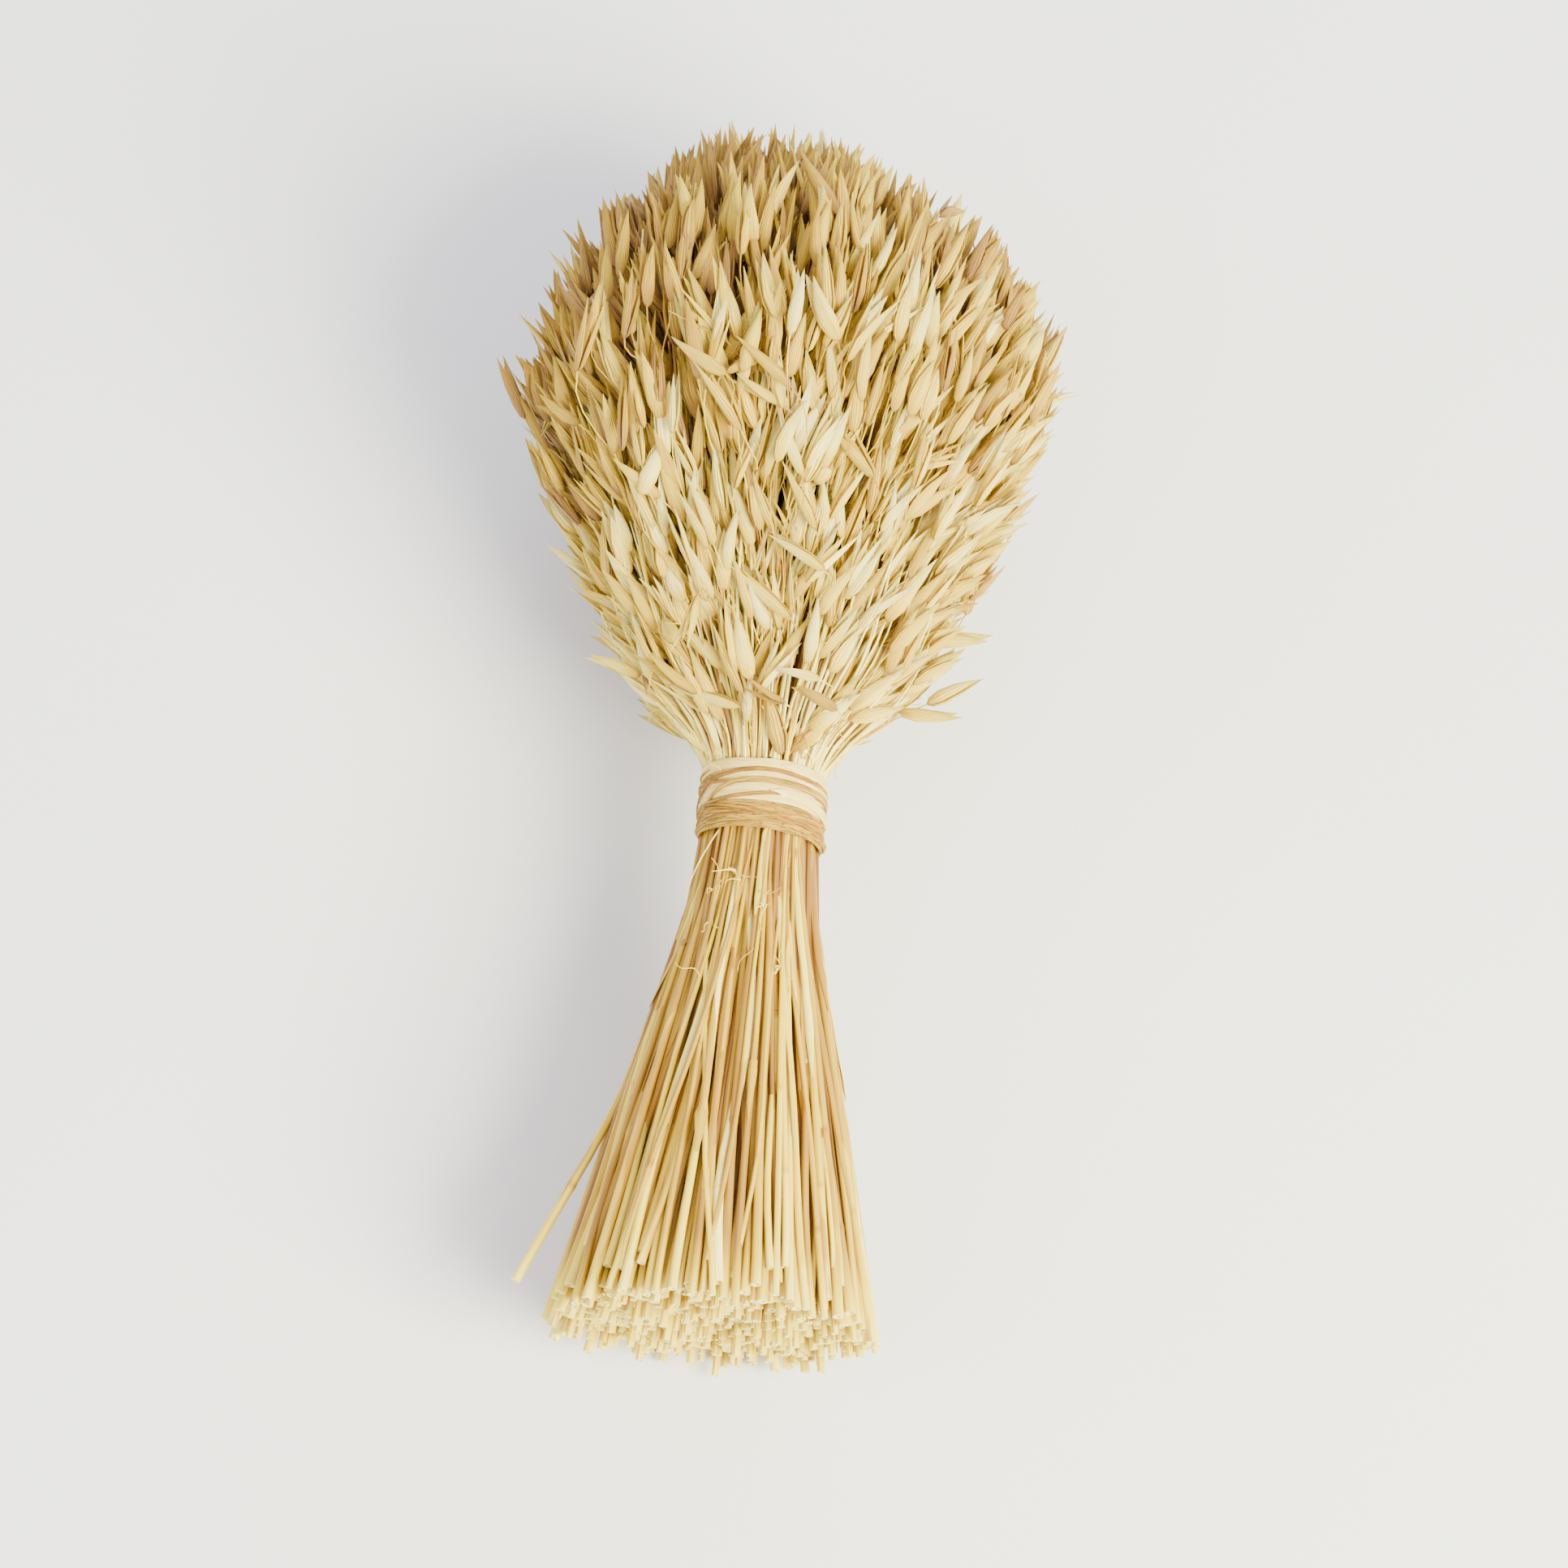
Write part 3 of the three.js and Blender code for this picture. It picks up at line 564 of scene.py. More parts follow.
def reach(angle, along):
    """Distance of the tips from the axis: the reaches to the left and right, blended by the cosine,
    and less on the front and the back of the neck."""
    left = np.interp(along, HEAD_LINE[:, 0], HEAD_LINE[:, 1])
    right = np.interp(along, HEAD_LINE[:, 0], HEAD_LINE[:, 2])
    flat = np.interp(along, [212, 235, 290, 345], [0, 0.2, 0.12, 0]) * np.sin(angle) ** 2
    return ((left + right) / 2 + (right - left) / 2 * np.cos(angle)) * (1 - flat)


def fan_radius(share, angle, along):
    """Radius of a stem with the given share of the fan: the fan keeps inside the tips, and goes
    straight on above the widest place until it meets the head's narrowing crown."""
    wide = reach(angle, np.minimum(along, WIDEST_AT))
    return share * np.minimum(20 + (wide - 22) * 0.84, reach(angle, along) * 0.95)


rng = np.random.default_rng(23)
stems = STEMS_OUTSIDE + STEMS_INSIDE
number = np.arange(stems)
of_outside = number < STEMS_OUTSIDE
inner_share = 0.93 * np.sqrt((number - STEMS_OUTSIDE + 0.5).clip(0) / STEMS_INSIDE)
stem_share = np.where(of_outside, rng.uniform(0.93, 1.01, stems), inner_share)
stem_angle = np.where(of_outside, 2 * pi * number / STEMS_OUTSIDE, number * GOLDEN_ANGLE)
stem_angle += rng.normal(0, 0.04, stems)
stem_end = np.where(of_outside, rng.uniform(262, 350, stems), 300 + 120 * rng.random(stems))
stations = np.linspace(0, 1, 10)
along = 196 + (stem_end[:, None] - 196) * stations
angle = stem_angle[:, None] + rng.normal(0, 0.12, (stems, 1)) * stations
bow = rng.normal(0, 2, (stems, 1)) * np.sin(pi * stations) ** 2 * stations
radius = np.minimum(fan_radius(stem_share[:, None], angle, along) + bow, reach(angle, along) - 1)
radius = np.where(along < 214, np.minimum(radius, 20), radius)
path = pressed(polar(radius, angle, along), reach(angle, along))
thickness = (0.42 + 0.42 * rng.random((stems, 1))) * (1 - 0.55 * stations)
stem_rings = swept(path, round_outline(thickness, STEM_SIDES), STRAW_FACING)
# Painted shade: every other stem inside the fan gets the darkest tone, standing for the shade inside the
# head; the outer stems keep a pale tone.
stem_tone = np.where(of_outside | (number % 2 == 0), rng.normal(0.92, 0.22, stems), 0)[:, None, None]
piece("head_stems", [(stem_rings, straw_grain(rng, stem_rings, 1.2), stem_tone)], straw_look)


# The spikelets: two papery glumes each, boat-shaped, with fine veins and long points that gape
# over a smaller floret. They lie close on the front of the head and stand out at its sides.

SPIKELETS_OUTSIDE = 1420
SPIKELETS_BELOW = 1200
SPIKELETS_INSIDE = 1800
LOWER_PIECE_BELOW = 352
GAPING_SHARE = 0.6
WIDE_GAPE = 0.11
# Stations along a glume and corners of its arch: fine for the spikelets in sight, coarse inside
FINE = [0, 0.07, 0.28, 0.58, 0.83, 1]
FINE_ARCH = np.radians([0, 60, 120, 180])
COARSE = [0, 0.15, 0.4, 0.72, 1]
COARSE_ARCH = np.radians([0, 90, 180])


def spikelet_rings(base, tip, roll, width, gape, bend, stations, arch):
    """Glume pairs. Each glume's path is the line from base to tip, set off to its own side by a gape
    that grows past a quarter of the length, with a slight bow. Its outline is an arch over a hollow:
    half-width and height follow the same profile along the length."""
    line = tip - base
    heading = unit(line)
    level = unit(np.cross(heading, [0.31, -0.2, 0.93]))
    facing = level * np.cos(roll)[:, None] + np.cross(heading, level) * np.sin(roll)[:, None]
    sideways = np.cross(heading, facing)
    t = np.array(stations)
    profile = np.interp(t, [0, 0.07, 0.28, 0.4, 0.58, 0.83, 1], [0.16, 0.66, 1, 0.98, 0.79, 0.36, 0.03])
    half = width[:, None] / 2 * profile
    open_by = gape[:, None] * np.linalg.norm(line, axis=1)[:, None] * np.maximum(0, t - 0.25) ** 1.2
    bow = (bend[:, None] * 4 * t * (1 - t))[..., None] * sideways[:, None]
    sets = []
    for out, short in ((1, 1.0), (-1, 0.92)):
        path = base[:, None] + line[:, None] * (t[:, None] * short) + bow
        path = path + out * facing[:, None] * (0.12 * half + open_by)[..., None]
        path = path + out * sideways[:, None] * (0.3 * half.max() * t * t)[..., None]
        outline = half[..., None, None] * np.stack([np.cos(arch), 0.78 * np.sin(arch)], -1)
        hollow = half[..., None, None] * np.array([[0, 0.36]])
        outline = np.concatenate([outline, hollow], 2)
        rings = swept(path, outline, out * facing[:, None])
        grain = np.stack(np.broadcast_arrays(
            outline[..., 0] / np.maximum(half, 0.2)[:, :, None], roll[:, None, None] * 7 + out, t[:, None],
        ), -1)
        sets.append((rings, grain))
    return sets


def wander(rng, along, angle, size):
    """Smooth value round the head, mostly between -1 and 1, that changes over about the given
    size in mm: a sum of waves along and round it."""
    total = 0
    for _ in range(6):
        waves = np.round(rng.normal(0, 1) * 480 / size)
        lengthwise = 2 * pi * along * rng.normal(0, 1) / size
        total = total + np.sin(lengthwise + waves * angle + rng.uniform(0, 2 * pi))
    return total / 2.4


def scattered(count, lowest, highest):
    """Places spread evenly over the head's surface: heights at equal steps of its area, each turned
    by the golden angle from the last."""
    height = np.linspace(lowest, highest, 600)
    mean = reach(pi / 4, height)
    slant = np.hypot(np.gradient(height), np.gradient(mean))
    area = np.cumsum((mean + 4) * slant)
    steps = (np.arange(count) + 0.5) / count
    return np.interp(steps * area[-1], area, height), np.arange(count) * GOLDEN_ANGLE


def place_spikelets(rng, count, share, lowest, highest, wild, proud=0.0):
    """Bases and tips: tips on the head's outline or a share inside it, bases a length back along
    a heading that fans out more at the sides than on the front, drifts over the head in patches,
    and is quite free for a few. Low on the neck and on the crown fewer are kept."""
    along, angle = scattered(count, lowest, highest)
    along = along + rng.normal(0, 3.5, count)
    angle = angle + rng.normal(0, 4, count) / np.maximum(reach(angle, along) * share, 8)
    free = rng.random(count) < wild
    at = [208, 235, 265, 300, 340, 370, 400, 430, 466]
    side_lean = np.interp(along, at, [64, 62, 54, 46, 39, 33, 26, 17, 4])
    front_lean = np.interp(along, at, [20, 30, 33, 27, 20, 12, 6, 2, 0])
    sideward = np.sin(np.radians(side_lean)) * np.cos(angle)
    frontward = np.sin(np.radians(front_lean)) * np.sin(angle)
    forward = np.sqrt(1 - np.minimum(0.85, sideward ** 2 + frontward ** 2))
    heading = np.stack([sideward, forward, frontward], -1)
    radial = polar(1, angle, 0)
    around = polar(1, angle + pi / 2, 0)
    raised = 0.12 * wander(rng, along, angle, 70) + rng.normal(0, 0.12, count)
    raised = raised + free * rng.normal(0, 0.35, count)
    slewed = 0.2 * wander(rng, along, angle, 60) + rng.normal(0, 0.14, count)
    slewed = slewed + free * rng.normal(0, 0.7, count)
    heading = unit(heading + radial * raised[:, None] + around * slewed[:, None])
    length = rng.normal(26.4, 2.6, count).clip(20, 32)
    depth = 0.045 * (1 + wander(rng, along, angle, 32)) * np.interp(along, [430, 460], [1, 0.9])
    stands_out = (rng.random(count) < proud) * rng.uniform(0.015, 0.045, count)
    tip = polar(reach(angle, along) * (share - depth.clip(0, 0.12) + stands_out), angle, along)
    base = tip - heading * length[:, None]
    above_neck = np.interp(base[:, 1], [206, 216, 234, 256], [0, 0.1, 0.34, 1])
    below_crown = np.interp(along, [390, 440], [1, 0.56])
    kept = rng.random(count) < above_neck * below_crown
    off_axis = np.hypot(base[:, 0], base[:, 2])
    kept &= off_axis < reach(angle, base[:, 1]) + 6
    base, tip, along, angle = base[kept], tip[kept], along[kept], angle[kept]
    return pressed(base, reach(angle, base[:, 1])), pressed(tip, reach(angle, along)), along, angle


def spikelet_tone(rng, along, angle):
    """Tone from 0, brown, to 1, cream: lower toward the crown, its left and its right side, cream low on the
    head. This is partly the tan of the crown's spikelets and partly painted shade where the light falls off.
    """
    high = np.interp(along, [340, 440], [0, 1])
    left = np.clip(-np.cos(angle), 0, 1) * np.interp(along, [260, 360], [0, 1])
    patches = 0.07 * wander(rng, along, angle, 60)
    right = np.clip(np.cos(angle) - 0.2, 0, 1) * np.interp(along, [280, 330], [0, 1])
    # Painted shade by place: the tone drops toward the crown, the left and the right, partly for the crown's
    # tan and partly for light falling off there.
    place = 0.81 - 0.41 * high - 0.52 * left - 0.22 * right
    return (place + patches + rng.normal(0, 0.19, len(along))).clip(0.12, 0.98)


papery, start, shader = material("oat_glume")
grain = start.attribute("grain", 1)
tone = start.attribute("tone", 2)
across_glume = grain.part(0)
up_glume = grain.part(2)
rib = start.sum("SINE", across_glume * 29)
mottle = start.noise(grain, (2.5, 1, 1.6), 2.0, 4)
stripe = start.noise(grain, (4.5, 1, 0.3), 2.0, 3)
# Darker toward each glume's edges: partly the tan of its sides, partly painted shade along its outline and on
# its sides turned from the light.
edge = abs(across_glume) ** 3
paler_tip = start.fade(up_glume, 0.02, 0.4) * 0.24 + start.fade(up_glume, 0.5, 1.0) * 0.1
shade = tone + (mottle - 0.5) * 0.5 + (stripe - 0.5) * 0.8 + paler_tip - edge * 0.24 - 0.15
# The lowest stop is also the painted shade given to the spikelets deep inside the head.
husk = start.ramp(
    shade,
    (0.0, dye(161, 121, 66)), (0.2, dye(178, 141, 57)), (0.38, dye(205, 170, 53)),
    (0.58, dye(231, 197, 64)), (0.8, dye(246, 221, 92)), (1.0, dye(255, 245, 166)),
)
veined = start.blend(start.fade(rib, 0.0, 0.9) * 0.6, husk, dye(200, 160, 88), "MULTIPLY")
feed(start, shader, veined, 0.5 + 0.14 * mottle, rib * 0.6 + mottle, 0.00025, 0.8)
shader.inputs["Specular IOR Level"].default_value = 0.35
shader.inputs["Subsurface Weight"].default_value = 0.15
shader.inputs["Subsurface Radius"].default_value = (0.0016, 0.0009, 0.0004)
shader.inputs["Subsurface Scale"].default_value = 1


def dress(name, rng, base, tip, tone, stations, arch, plump=6.0, nodes=()):
    """One piece of spikelets: glume pairs, a share of them gaping, with a floret inside those that
    gape wide."""
    count = len(base)
    width = plump * rng.normal(1, 0.12, count).clip(0.72, 1.35)
    gaping = rng.random(count) < GAPING_SHARE
    gape = np.where(gaping, rng.uniform(0.08, 0.27, count), rng.uniform(0.015, 0.06, count))
    roll = rng.uniform(0, 2 * pi, count)
    bend = rng.normal(0, 0.7, count)
    width_of_each = width * np.where(gaping, 0.88, 1)
    sets = spikelet_rings(base, tip, roll, width_of_each, gape, bend, stations, arch)
    parts = [(rings, grain, tone[:, None, None]) for rings, grain in sets]
    wide = gape > WIDE_GAPE
    core = base[wide][:, None] + (tip - base)[wide][:, None] * np.array([0.05, 0.3, 0.52, 0.8])[:, None]
    swell = width[wide][:, None] * np.array([0.08, 0.24, 0.2, 0.02])
    rings = swept(core, round_outline(swell, 4), np.array([0.3, 0.1, 1.0]))
    parts.append((rings, np.array([0.0, 3.0, 0.2]), tone[wide][:, None, None] - 0.25))
    return piece(name, parts, papery, nodes)


head_nodes = sorted(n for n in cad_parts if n.startswith("heads_"))
rng = np.random.default_rng(37)
share = 1.0 - 0.07 * rng.random(SPIKELETS_OUTSIDE) ** 0.8
base, tip, along, angle = place_spikelets(
    rng, SPIKELETS_OUTSIDE, share, 226, 467, wild=0.07, proud=0.12,
)
tone = spikelet_tone(rng, along, angle)
low = along < LOWER_PIECE_BELOW
for label, mine, nodes in (("spikelets_lower", low, ()), ("spikelets_upper", ~low, head_nodes)):
    dress(label, rng, base[mine], tip[mine], tone[mine], FINE, FINE_ARCH, nodes=nodes)

share = rng.uniform(0.8, 0.91, SPIKELETS_BELOW)
base_below, tip_below, along, angle = place_spikelets(
    rng, SPIKELETS_BELOW, share, 224, 463, wild=0.05,
)
# Painted shade: the layer under the outer spikelets is given a darker tone than theirs.
tone = spikelet_tone(rng, along, angle) - 0.16
dress("spikelets_below", rng, base_below, tip_below, tone, FINE, FINE_ARCH)

share = rng.uniform(0.3, 0.8, SPIKELETS_INSIDE)
base_inside, tip_inside, along, angle = place_spikelets(
    rng, SPIKELETS_INSIDE, share, 228, 458, wild=0.04,
)
# Painted shade: most spikelets deep inside the head get the darkest tone and the rest a much darker one,
# standing for the shade between the outer spikelets.
tone = np.where(rng.random(len(along)) < 0.6, 0, spikelet_tone(rng, along, angle) - 0.3)
dress("spikelets_inner", rng, base_inside, tip_inside, tone, COARSE, COARSE_ARCH)


# Spikelets that stand clear of the head's outline, and loose ones that lie crosswise on its front.
# Each row is the base and the tip, across and along, then how far up from the axis they are, in mm.
# Two loose ones low on the front are tan, and the last one is brown.

STRAYS = np.array([
    [17, 456, 24, 468, 2], [1, 452, 1.5, 469, 6], [-31, 448, -33, 467, 3], [59, 428, 61, 449, 4],
    [-66, 417, -67, 439, 5], [93, 366, 110, 371, 4], [77, 395, 91, 409, 3], [82, 384, 95, 402, -4],
    [94, 370, 100, 389, 2], [-74, 372, -88, 387, 3], [-74, 358, -88, 371, 6], [-75, 300, -90, 316, 4],
    [-58, 268, -73, 279, 5], [63, 270, 82, 271, 3], [60, 245, 79, 255, 2], [78, 311, 95, 320, 5],
    [86, 343, 101, 356, 3], [60, 240, 72, 240, 4], [-49, 245, -69, 251, 8], [-84, 352, -91, 333, 12],
    [50, 247, 71, 262, 9], [-13, 447, -18, 464, 10], [38, 432, 42, 452, 14], [-50, 428, -56, 448, 6],
    [-20, 446, -24, 468, 12], [9, 450, 7, 470, 9], [56, 426, 64, 447, -2], [-45, 436, -47, 459, 2],
    [80, 396, 92, 412, 6], [90, 380, 104, 396, -3], [-80, 396, -90, 414, 5], [62, 410, 69, 431, 3],
])
LOOSE = np.array([
    [6, 255, -17.5, 277, 56], [17.5, 270, -5, 284, 68], [18, 236, 1, 238, 46], [-1, 324, -21, 333, 90],
    [6, 228, -10, 235, 40], [25, 226, 8, 234, 42], [-28, 262, -34, 239, 54], [-44, 296, -62, 309, 60],
    [-22, 212, -36, 222, 24], [33, 303, 17, 326, 80], [57, 331, 74, 349, 66], [-23, 348, -44, 362, 88],
    [29, 352, 46, 368, 90], [-10, 357, 4, 377, 92], [7, 300, -3, 324, 84], [-47, 244, -43, 235, 12],
])

rng = np.random.default_rng(61)
rows = np.concatenate([STRAYS, LOOSE])
is_stray = np.arange(len(rows)) < len(STRAYS)
base_loose = np.stack([rows[:, 0], rows[:, 1], rows[:, 4]], -1)
tip_loose = np.stack([rows[:, 2], rows[:, 3], rows[:, 4] + rng.normal(0.5, 2, len(rows))], -1)
row_length = np.linalg.norm(tip_loose - base_loose, axis=1)
length = np.where(is_stray, rng.uniform(22, 26, len(rows)), row_length)
base_loose = tip_loose - unit(tip_loose - base_loose) * length[:, None]
tone_loose = rng.uniform(0.6, 0.95, len(rows))
tan_ones = len(STRAYS) + np.array([4, 5])
tone_loose[tan_ones] = 0.3
tone_loose[-1] = 0.02
plump = (0.25 * length).clip(2.6, 6.6)
dress("loose_spikelets", rng, base_loose, tip_loose, tone_loose, FINE, FINE_ARCH, plump)


# Each spikelet hangs on a hair-thin stalklet that curves back to its branch, often with a kink.

def stalklets(rng, base, tip):
    """Three-sided threads: a curve from a point lower on the same fan line to the spikelet's base,
    ending along the spikelet's heading, with a kink part of the way."""
    count = len(base)
    heading = unit(tip - base)
    drop = rng.uniform(14, 40, count)
    low = np.maximum(base[:, 1] - drop, 207)
    radius = np.hypot(base[:, 0], base[:, 2])
    angle = np.arctan2(base[:, 2], base[:, 0])
    ratio = ((low - 190) / np.maximum(base[:, 1] - 190, 10)).clip(0, 1)
    root = polar(radius * ratio * rng.uniform(0.86, 1.02, count), angle + rng.normal(0, 0.05, count), low)
    pull = np.linalg.norm(base - root, axis=1)[:, None] * 0.38
    leaving = root + unit(root - np.array([0, 170, 0])) * pull
    path = curve(root, leaving, base - heading * pull, base + heading * 0.6, 7)
    kink = rng.normal(0, 0.9, (count, 1, 3)) * np.array([0, 0.2, 0.8, 1, 0.25, 0, 0])[:, None]
    thick = np.array([0.4, 0.34, 0.3, 0.27, 0.25, 0.25, 0.34]) * np.ones((count, 1))
    return swept(path + kink, round_outline(thick, 3), THREAD_FACING)


rng = np.random.default_rng(41)
bases = np.concatenate([base, base_loose, base_below[::2]])
tips = np.concatenate([tip, tip_loose, tip_below[::2]])
threads = stalklets(rng, bases, tips)
thread_tone = rng.normal(0.46, 0.16, len(threads)).clip(0.1, 0.9)[:, None, None]
piece("stalklets", [(threads, threads * 0.3, thread_tone)], straw_look)


# Torn fibres curl off the straws under the tie and among the stems over it, and one pale thread
# hangs out from under the wrap on the left of the front.

FIBRES = 56
FIBRES_BELOW_TIE = 14
SCRAPS_AT = np.array([155, 131, 168])
SCRAP_ANGLES = np.array([1.42, 1.2, 1.9])
WISPS_IN_SCRAP = 7
PALE_THREAD = np.array([[-15, 184, 19.6], [-19.5, 176, 19], [-24, 167, 14], [-25, 160, 8]])


def curled(rng, root, wobble, flatten, outward_by, steps):
    """Curves from the roots through three random steps, each also pushed away from the axis."""
    points = [root]
    for _ in range(3):
        step = rng.normal(0, wobble, root.shape) * flatten
        points.append(points[-1] + step + unit(root * [1, 0, 1]) * outward_by)
    return curve(*points, steps)


rng = np.random.default_rng(47)
below_tie = np.arange(FIBRES) < FIBRES_BELOW_TIE
low = np.where(below_tie, rng.uniform(120, 174, FIBRES), rng.uniform(214, 262, FIBRES))
turn_at = np.where(below_tie, rng.uniform(0.8, 2.3, FIBRES), rng.uniform(0, 2 * pi, FIBRES))
near = np.where(below_tie, skirt_radius(low) + 0.4, fan_radius(1, turn_at, low) + 1)
hair = curled(
    rng, polar(near, turn_at, low), wobble=2.6, flatten=[1, 1.7, 0.6], outward_by=0.5, steps=12,
)
hair_width = np.linspace(0.3, 0.14, 12) * np.ones((FIBRES, 1))
fibre_rings = swept(pressed(hair, 60), round_outline(hair_width, 3), THREAD_FACING)
scrap_root = polar(skirt_radius(SCRAPS_AT) + 0.4, SCRAP_ANGLES, SCRAPS_AT)
scrap_root = np.repeat(scrap_root, WISPS_IN_SCRAP, 0)
scrap = curled(rng, scrap_root, wobble=1.7, flatten=[1, 1, 0.4], outward_by=0.6, steps=10)
scrap_width = np.linspace(0.34, 0.12, 10) * np.ones((len(scrap), 1))
scrap_rings = swept(scrap, round_outline(scrap_width, 3), THREAD_FACING)
thread_path = curve(*PALE_THREAD[:, None], 16)
thread_rings = swept(thread_path, round_outline(np.full((1, 16), 0.25), 5), THREAD_FACING)
sets = ((fibre_rings, 0.62), (scrap_rings, 0.8), (thread_rings, 0.95))
piece("fibres", [(rings, rings * 0.3, tone) for rings, tone in sets], straw_look)


# The tie: a wide band of wrinkled tan raffia below, a pale paper ribbon wound over the waist above
# it, and thin raffia strands in the grooves between the ribbon's turns.

def wound(rng, knots, widths, inside, lift, crinkle, across_steps, tilt=0.0):
    """A strip wound round the waist through knots of an angle in degrees and a height, with widths
    at even steps, from a radius inside it. The outer side is arched over the width, and sharp creases
    that run nearly with the strip fold it."""
    at, heights = np.radians([k[0] for k in knots]), [k[1] for k in knots]
    steps = int((at[-1] - at[0]) * 16) + 9
    turn = np.linspace(at[0], at[-1], steps)
    smooth = np.hanning(9)[1:-1] / np.hanning(9).sum()
    centre = np.convolve(np.pad(np.interp(turn, at, heights), 3, "edge"), smooth, "valid")
    wave = sum(
        a * np.sin(turn * f + p) for a, f, p in zip((0.14, 0.1, 0.06), (2.3, 4.9, 9.3), rng.uniform(0, 6, 3))
    )
    centre = centre - tilt * np.cos(turn) + wave
    t = np.linspace(0, 1, steps)
    ends = np.clip(np.minimum(np.arange(steps), np.arange(steps)[::-1]) / 4, 0.2, 1)
    half = np.interp(t, np.linspace(0, 1, len(widths)), widths) / 2 * ends
    v = np.linspace(-1, 1, across_steps)
    swells = sum(
        0.16 * np.sin(turn[:, None] * f + v * g + p)
        for f, g, p in zip(rng.uniform(-2, 2, 5), rng.uniform(2, 7, 5), rng.uniform(0, 6, 5))
    )
    crease = np.max([
        depth * (0.5 + 0.5 * np.sin(turn[:, None] * h + p))
        * np.exp(-(np.sin(turn[:, None] * f + v * g + p) / 0.2) ** 2)
        for f, g, h, p, depth in zip(
            rng.uniform(-1.6, 1.6, 9), rng.uniform(1.5, 5, 9), rng.uniform(0.6, 2, 9),
            rng.uniform(0, 6, 9), rng.uniform(0.5, 1, 9),
        )
    ], 0)
    # The crease value is raised at the strip's edges too, which changes the height little there; the
    # materials read it from the grain and paint shade along the creases and edges.
    crease = np.maximum(crease, 0.8 * v ** 10)
    height = lift * (0.3 + 0.7 * np.sqrt(1 - 0.92 * v * v)) + crinkle * (swells - crease) * (1 - v ** 4)
    outer = inside + np.maximum(height, 0.16)
    ring_out = polar(outer, turn[:, None], centre[:, None] + half[:, None] * v)
    inner_v = np.array([0.92, 0, -0.92])
    ring_in = polar(inside, turn[:, None], centre[:, None] + half[:, None] * inner_v)
    rings = np.concatenate([ring_out, ring_in], 1)[None]
    around = (turn * 23)[:, None]
    grain = np.concatenate([
        np.stack(np.broadcast_arrays(half[:, None] * v, crease, around), -1),
        np.stack(np.broadcast_arrays(half[:, None] * inner_v, 0.0, around), -1),
    ], 1)[None]
    return rings[:, ::-1], grain[:, ::-1] + rng.uniform(0, 90) * np.array([1, 0, 0])


ribbon_look, start, shader = material("pale_ribbon")
grain = start.attribute("grain", 1)
tone = start.attribute("tone", 2)
fold = start.noise(grain, (0.9, 0.1, 0.08), 1.0, 4)
fibre = start.noise(grain, (4, 0.1, 0.1), 1.6, 3)
# The fold noise makes the colour lighter and darker: partly the ribbon's own tone, partly painted light and
# shade on its folds.
cream = start.ramp(
    fold * 0.55 + fibre * 0.45 + tone - 0.5,
    (0.28, dye(214, 172, 74)), (0.43, dye(240, 212, 120)),
    (0.56, dye(250, 231, 150)), (0.74, dye(255, 245, 188)),
)
# Painted shade: thin dark lines along the fold noise, and darkening in the strip's creases and along its
# edges, where shade falls.
line = start.fade(abs(fold - 0.5), 0.02, 0.0)
painted_crease_shade = start.fade(grain.part(1), 0.3, 1.0)
crease_shaded = start.blend(line * 0.35 + painted_crease_shade * 0.4, cream, dye(196, 146, 76))
feed(start, shader, crease_shaded, 0.6 + 0.2 * fibre, fold + fibre * 0.5 - line * 0.3, 0.0005, 0.5)

raffia_look, start, shader = material("tan_raffia")
grain = start.attribute("grain", 1)
tone = start.attribute("tone", 2)
fold = start.noise(grain, (1.2, 0.1, 0.06), 0.9, 4)
fibre = start.noise(grain, (5, 0.1, 0.07), 1.7, 4)
# The fold noise makes the colour lighter and darker: partly the raffia's own tone, partly painted light and
# shade on its folds.
tan = start.ramp(
    fold * 0.45 + fibre * 0.55 + tone - 0.5,
    (0.34, dye(138, 84, 14)), (0.44, dye(184, 131, 26)),
    (0.54, dye(212, 166, 42)), (0.66, dye(242, 208, 84)),
)
# Painted shade: thin dark lines along the fold noise, and strong darkening in the strip's creases and along
# its edges, where shade falls.
line = start.fade(abs(fold - 0.5), 0.025, 0.0)
painted_crease_shade = start.fade(grain.part(1), 0.15, 0.9)
crease_shaded = start.blend(line * 0.6, tan, dye(128, 74, 34))
shadowed = start.blend(painted_crease_shade * 0.85, crease_shaded, dye(140, 82, 24))
feed(start, shader, shadowed, 0.5 + 0.25 * fibre, fold + fibre * 0.6 - line * 0.5, 0.001, 0.9)

# Each row is one run of a strip: its knots, its widths, the radius inside it, how far it lifts off
# that, and its tone where the runs differ. The ribbon's first run goes round nearly four times.

rng = np.random.default_rng(53)
ribbon_parts = []
for knots, widths, inside, lift in (
    (
        [(-60, 195.2), (34, 196.6), (60, 197.7), (34 + 360 * 3.6, 210.9)],
        [4.6, 5.2, 4.8, 5.2, 4.8, 5.4, 5.0], 22.2, 1.0,
    ),
    (
        [(-62, 196.0), (-20, 194.6), (10, 195.6), (45, 198.2), (84, 199.8)],
        [3.4, 4.8, 4.6, 4.2, 3.0], 23.2, 0.9,
    ),
    ([(-75, 205.0), (-20, 207.2), (30, 208.4), (75, 209.6)], [3.0, 5.0, 5.0, 3.0], 23.1, 0.7),
    ([(190, 206.4), (300, 206.8), (380, 205.4)], [3.6, 4.6, 3.4], 23.0, 0.7),
):
    rings, grain = wound(rng, knots, widths, inside, lift, crinkle=0.26, across_steps=15)
    ribbon_parts.append((rings, grain, 0.5 + rng.normal(0, 0.04)))
piece("ribbon", ribbon_parts, ribbon_look, ["tie_ribbon"], crease=60)

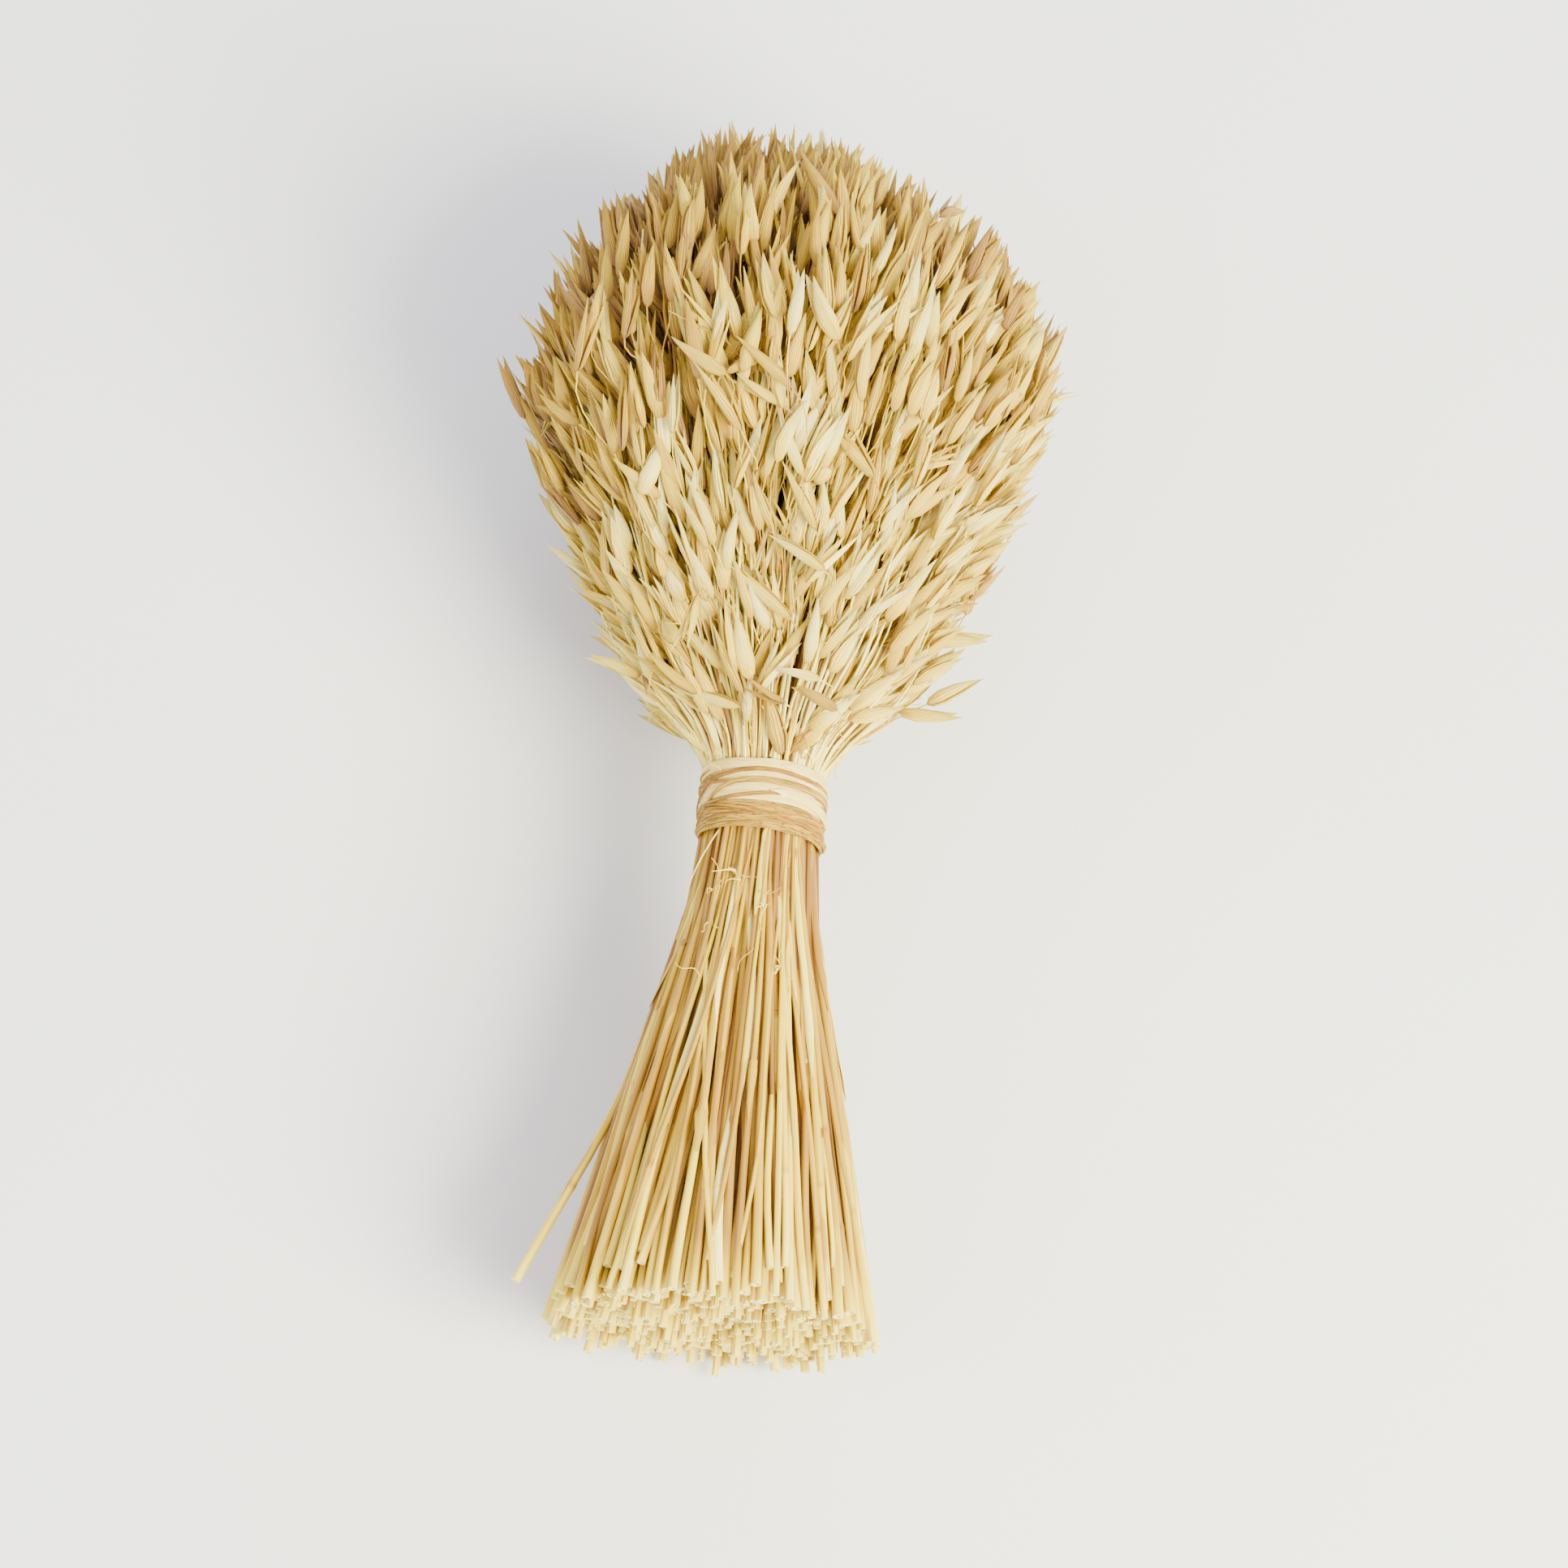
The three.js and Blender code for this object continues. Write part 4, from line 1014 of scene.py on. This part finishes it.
strand_parts = []
for knots, widths, inside, lift, tone_of in (
    (
        [(-150, 205.4), (-60, 205.2), (0, 205.4), (90, 207.6), (150, 206.2), (205, 202.4)],
        [1.0, 1.4, 1.8, 1.2], 23.2, 0.7, 0.5,
    ),
    (
        [
            (-170, 190), (-140, 196), (-100, 201.8), (0, 201.6), (45, 202.8),
            (90, 203.3), (118, 202.9), (138, 200.0), (163, 192.6), (180, 189.0),
        ],
        [1.4, 1.8, 2.4, 2.9, 2.6, 2.0, 1.2], 23.3, 0.8, 0.56,
    ),
    (
        [(-60, 197.6), (10, 198.6), (60, 198.9), (90, 198.2), (130, 196.6), (200, 195.6), (290, 196.4)],
        [0.9, 1.4, 1.5, 1.0], 23.2, 0.7, 0.48,
    ),
    (
        [(96, 207.2), (135, 205.4), (158, 202.6), (178, 197.6), (200, 191.8)],
        [0.8, 1.5, 1.9, 1.6, 1.0], 23.6, 0.7, 0.44,
    ),
    (
        [(104, 203.4), (140, 203.6), (165, 204.6), (210, 206.2), (300, 206.0)],
        [0.8, 1.5, 1.5, 1.0], 23.4, 0.6, 0.5,
    ),
    ([(150, 209.0), (220, 208.2), (330, 209.2), (392, 208.2)], [0.8, 1.5, 1.2, 0.8], 23.1, 0.6, 0.52),
    ([(180, 200.6), (250, 201.8), (340, 200.2), (400, 200.4)], [0.8, 1.6, 1.4, 0.8], 23.1, 0.6, 0.46),
):
    rings, grain = wound(rng, knots, widths, inside, lift, crinkle=0.22, across_steps=9)
    strand_parts.append((rings, grain, tone_of))
piece("raffia_strands", strand_parts, raffia_look, ["tie_strand"], crease=60)

wrap_parts = []
for knots, widths, inside, lift, tone_of in (
    ([(20, 187.8), (405, 187.6)], [5.2, 5.6, 5.0, 5.4, 5.2], 22.3, 1.0, 0.54),
    ([(140, 190.4), (530, 190.8)], [4.8, 5.4, 5.0, 5.2, 4.8], 22.4, 1.1, 0.5),
    ([(240, 193.4), (640, 193.2)], [4.6, 5.0, 4.4, 4.8, 4.6], 22.3, 1.1, 0.54),
    (
        [(-20, 188.6), (60, 189.2), (110, 191.8), (175, 194.6), (230, 194.8)],
        [1.4, 2.4, 3.0, 2.0, 1.2], 23.2, 0.8, 0.46,
    ),
    (
        [(5, 193.4), (60, 191.6), (110, 188.6), (180, 187.2), (240, 188)],
        [1.4, 2.4, 2.6, 2.2, 1.2], 23.3, 0.7, 0.58,
    ),
    ([(-14, 187.0), (20, 187.2), (70, 187.6)], [2.2, 2.6, 1.2], 23.5, 0.8, 0.52),
    ([(200, 189.4), (290, 191.2), (350, 188.8)], [1.2, 2.4, 1.2], 23.2, 0.8, 0.48),
):
    rings, grain = wound(rng, knots, widths, inside, lift, crinkle=0.7, across_steps=31, tilt=1.2)
    wrap_parts.append((rings, grain, tone_of))
piece("raffia_wrap", wrap_parts, raffia_look, ["tie_wrap"], crease=60)


low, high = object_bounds()
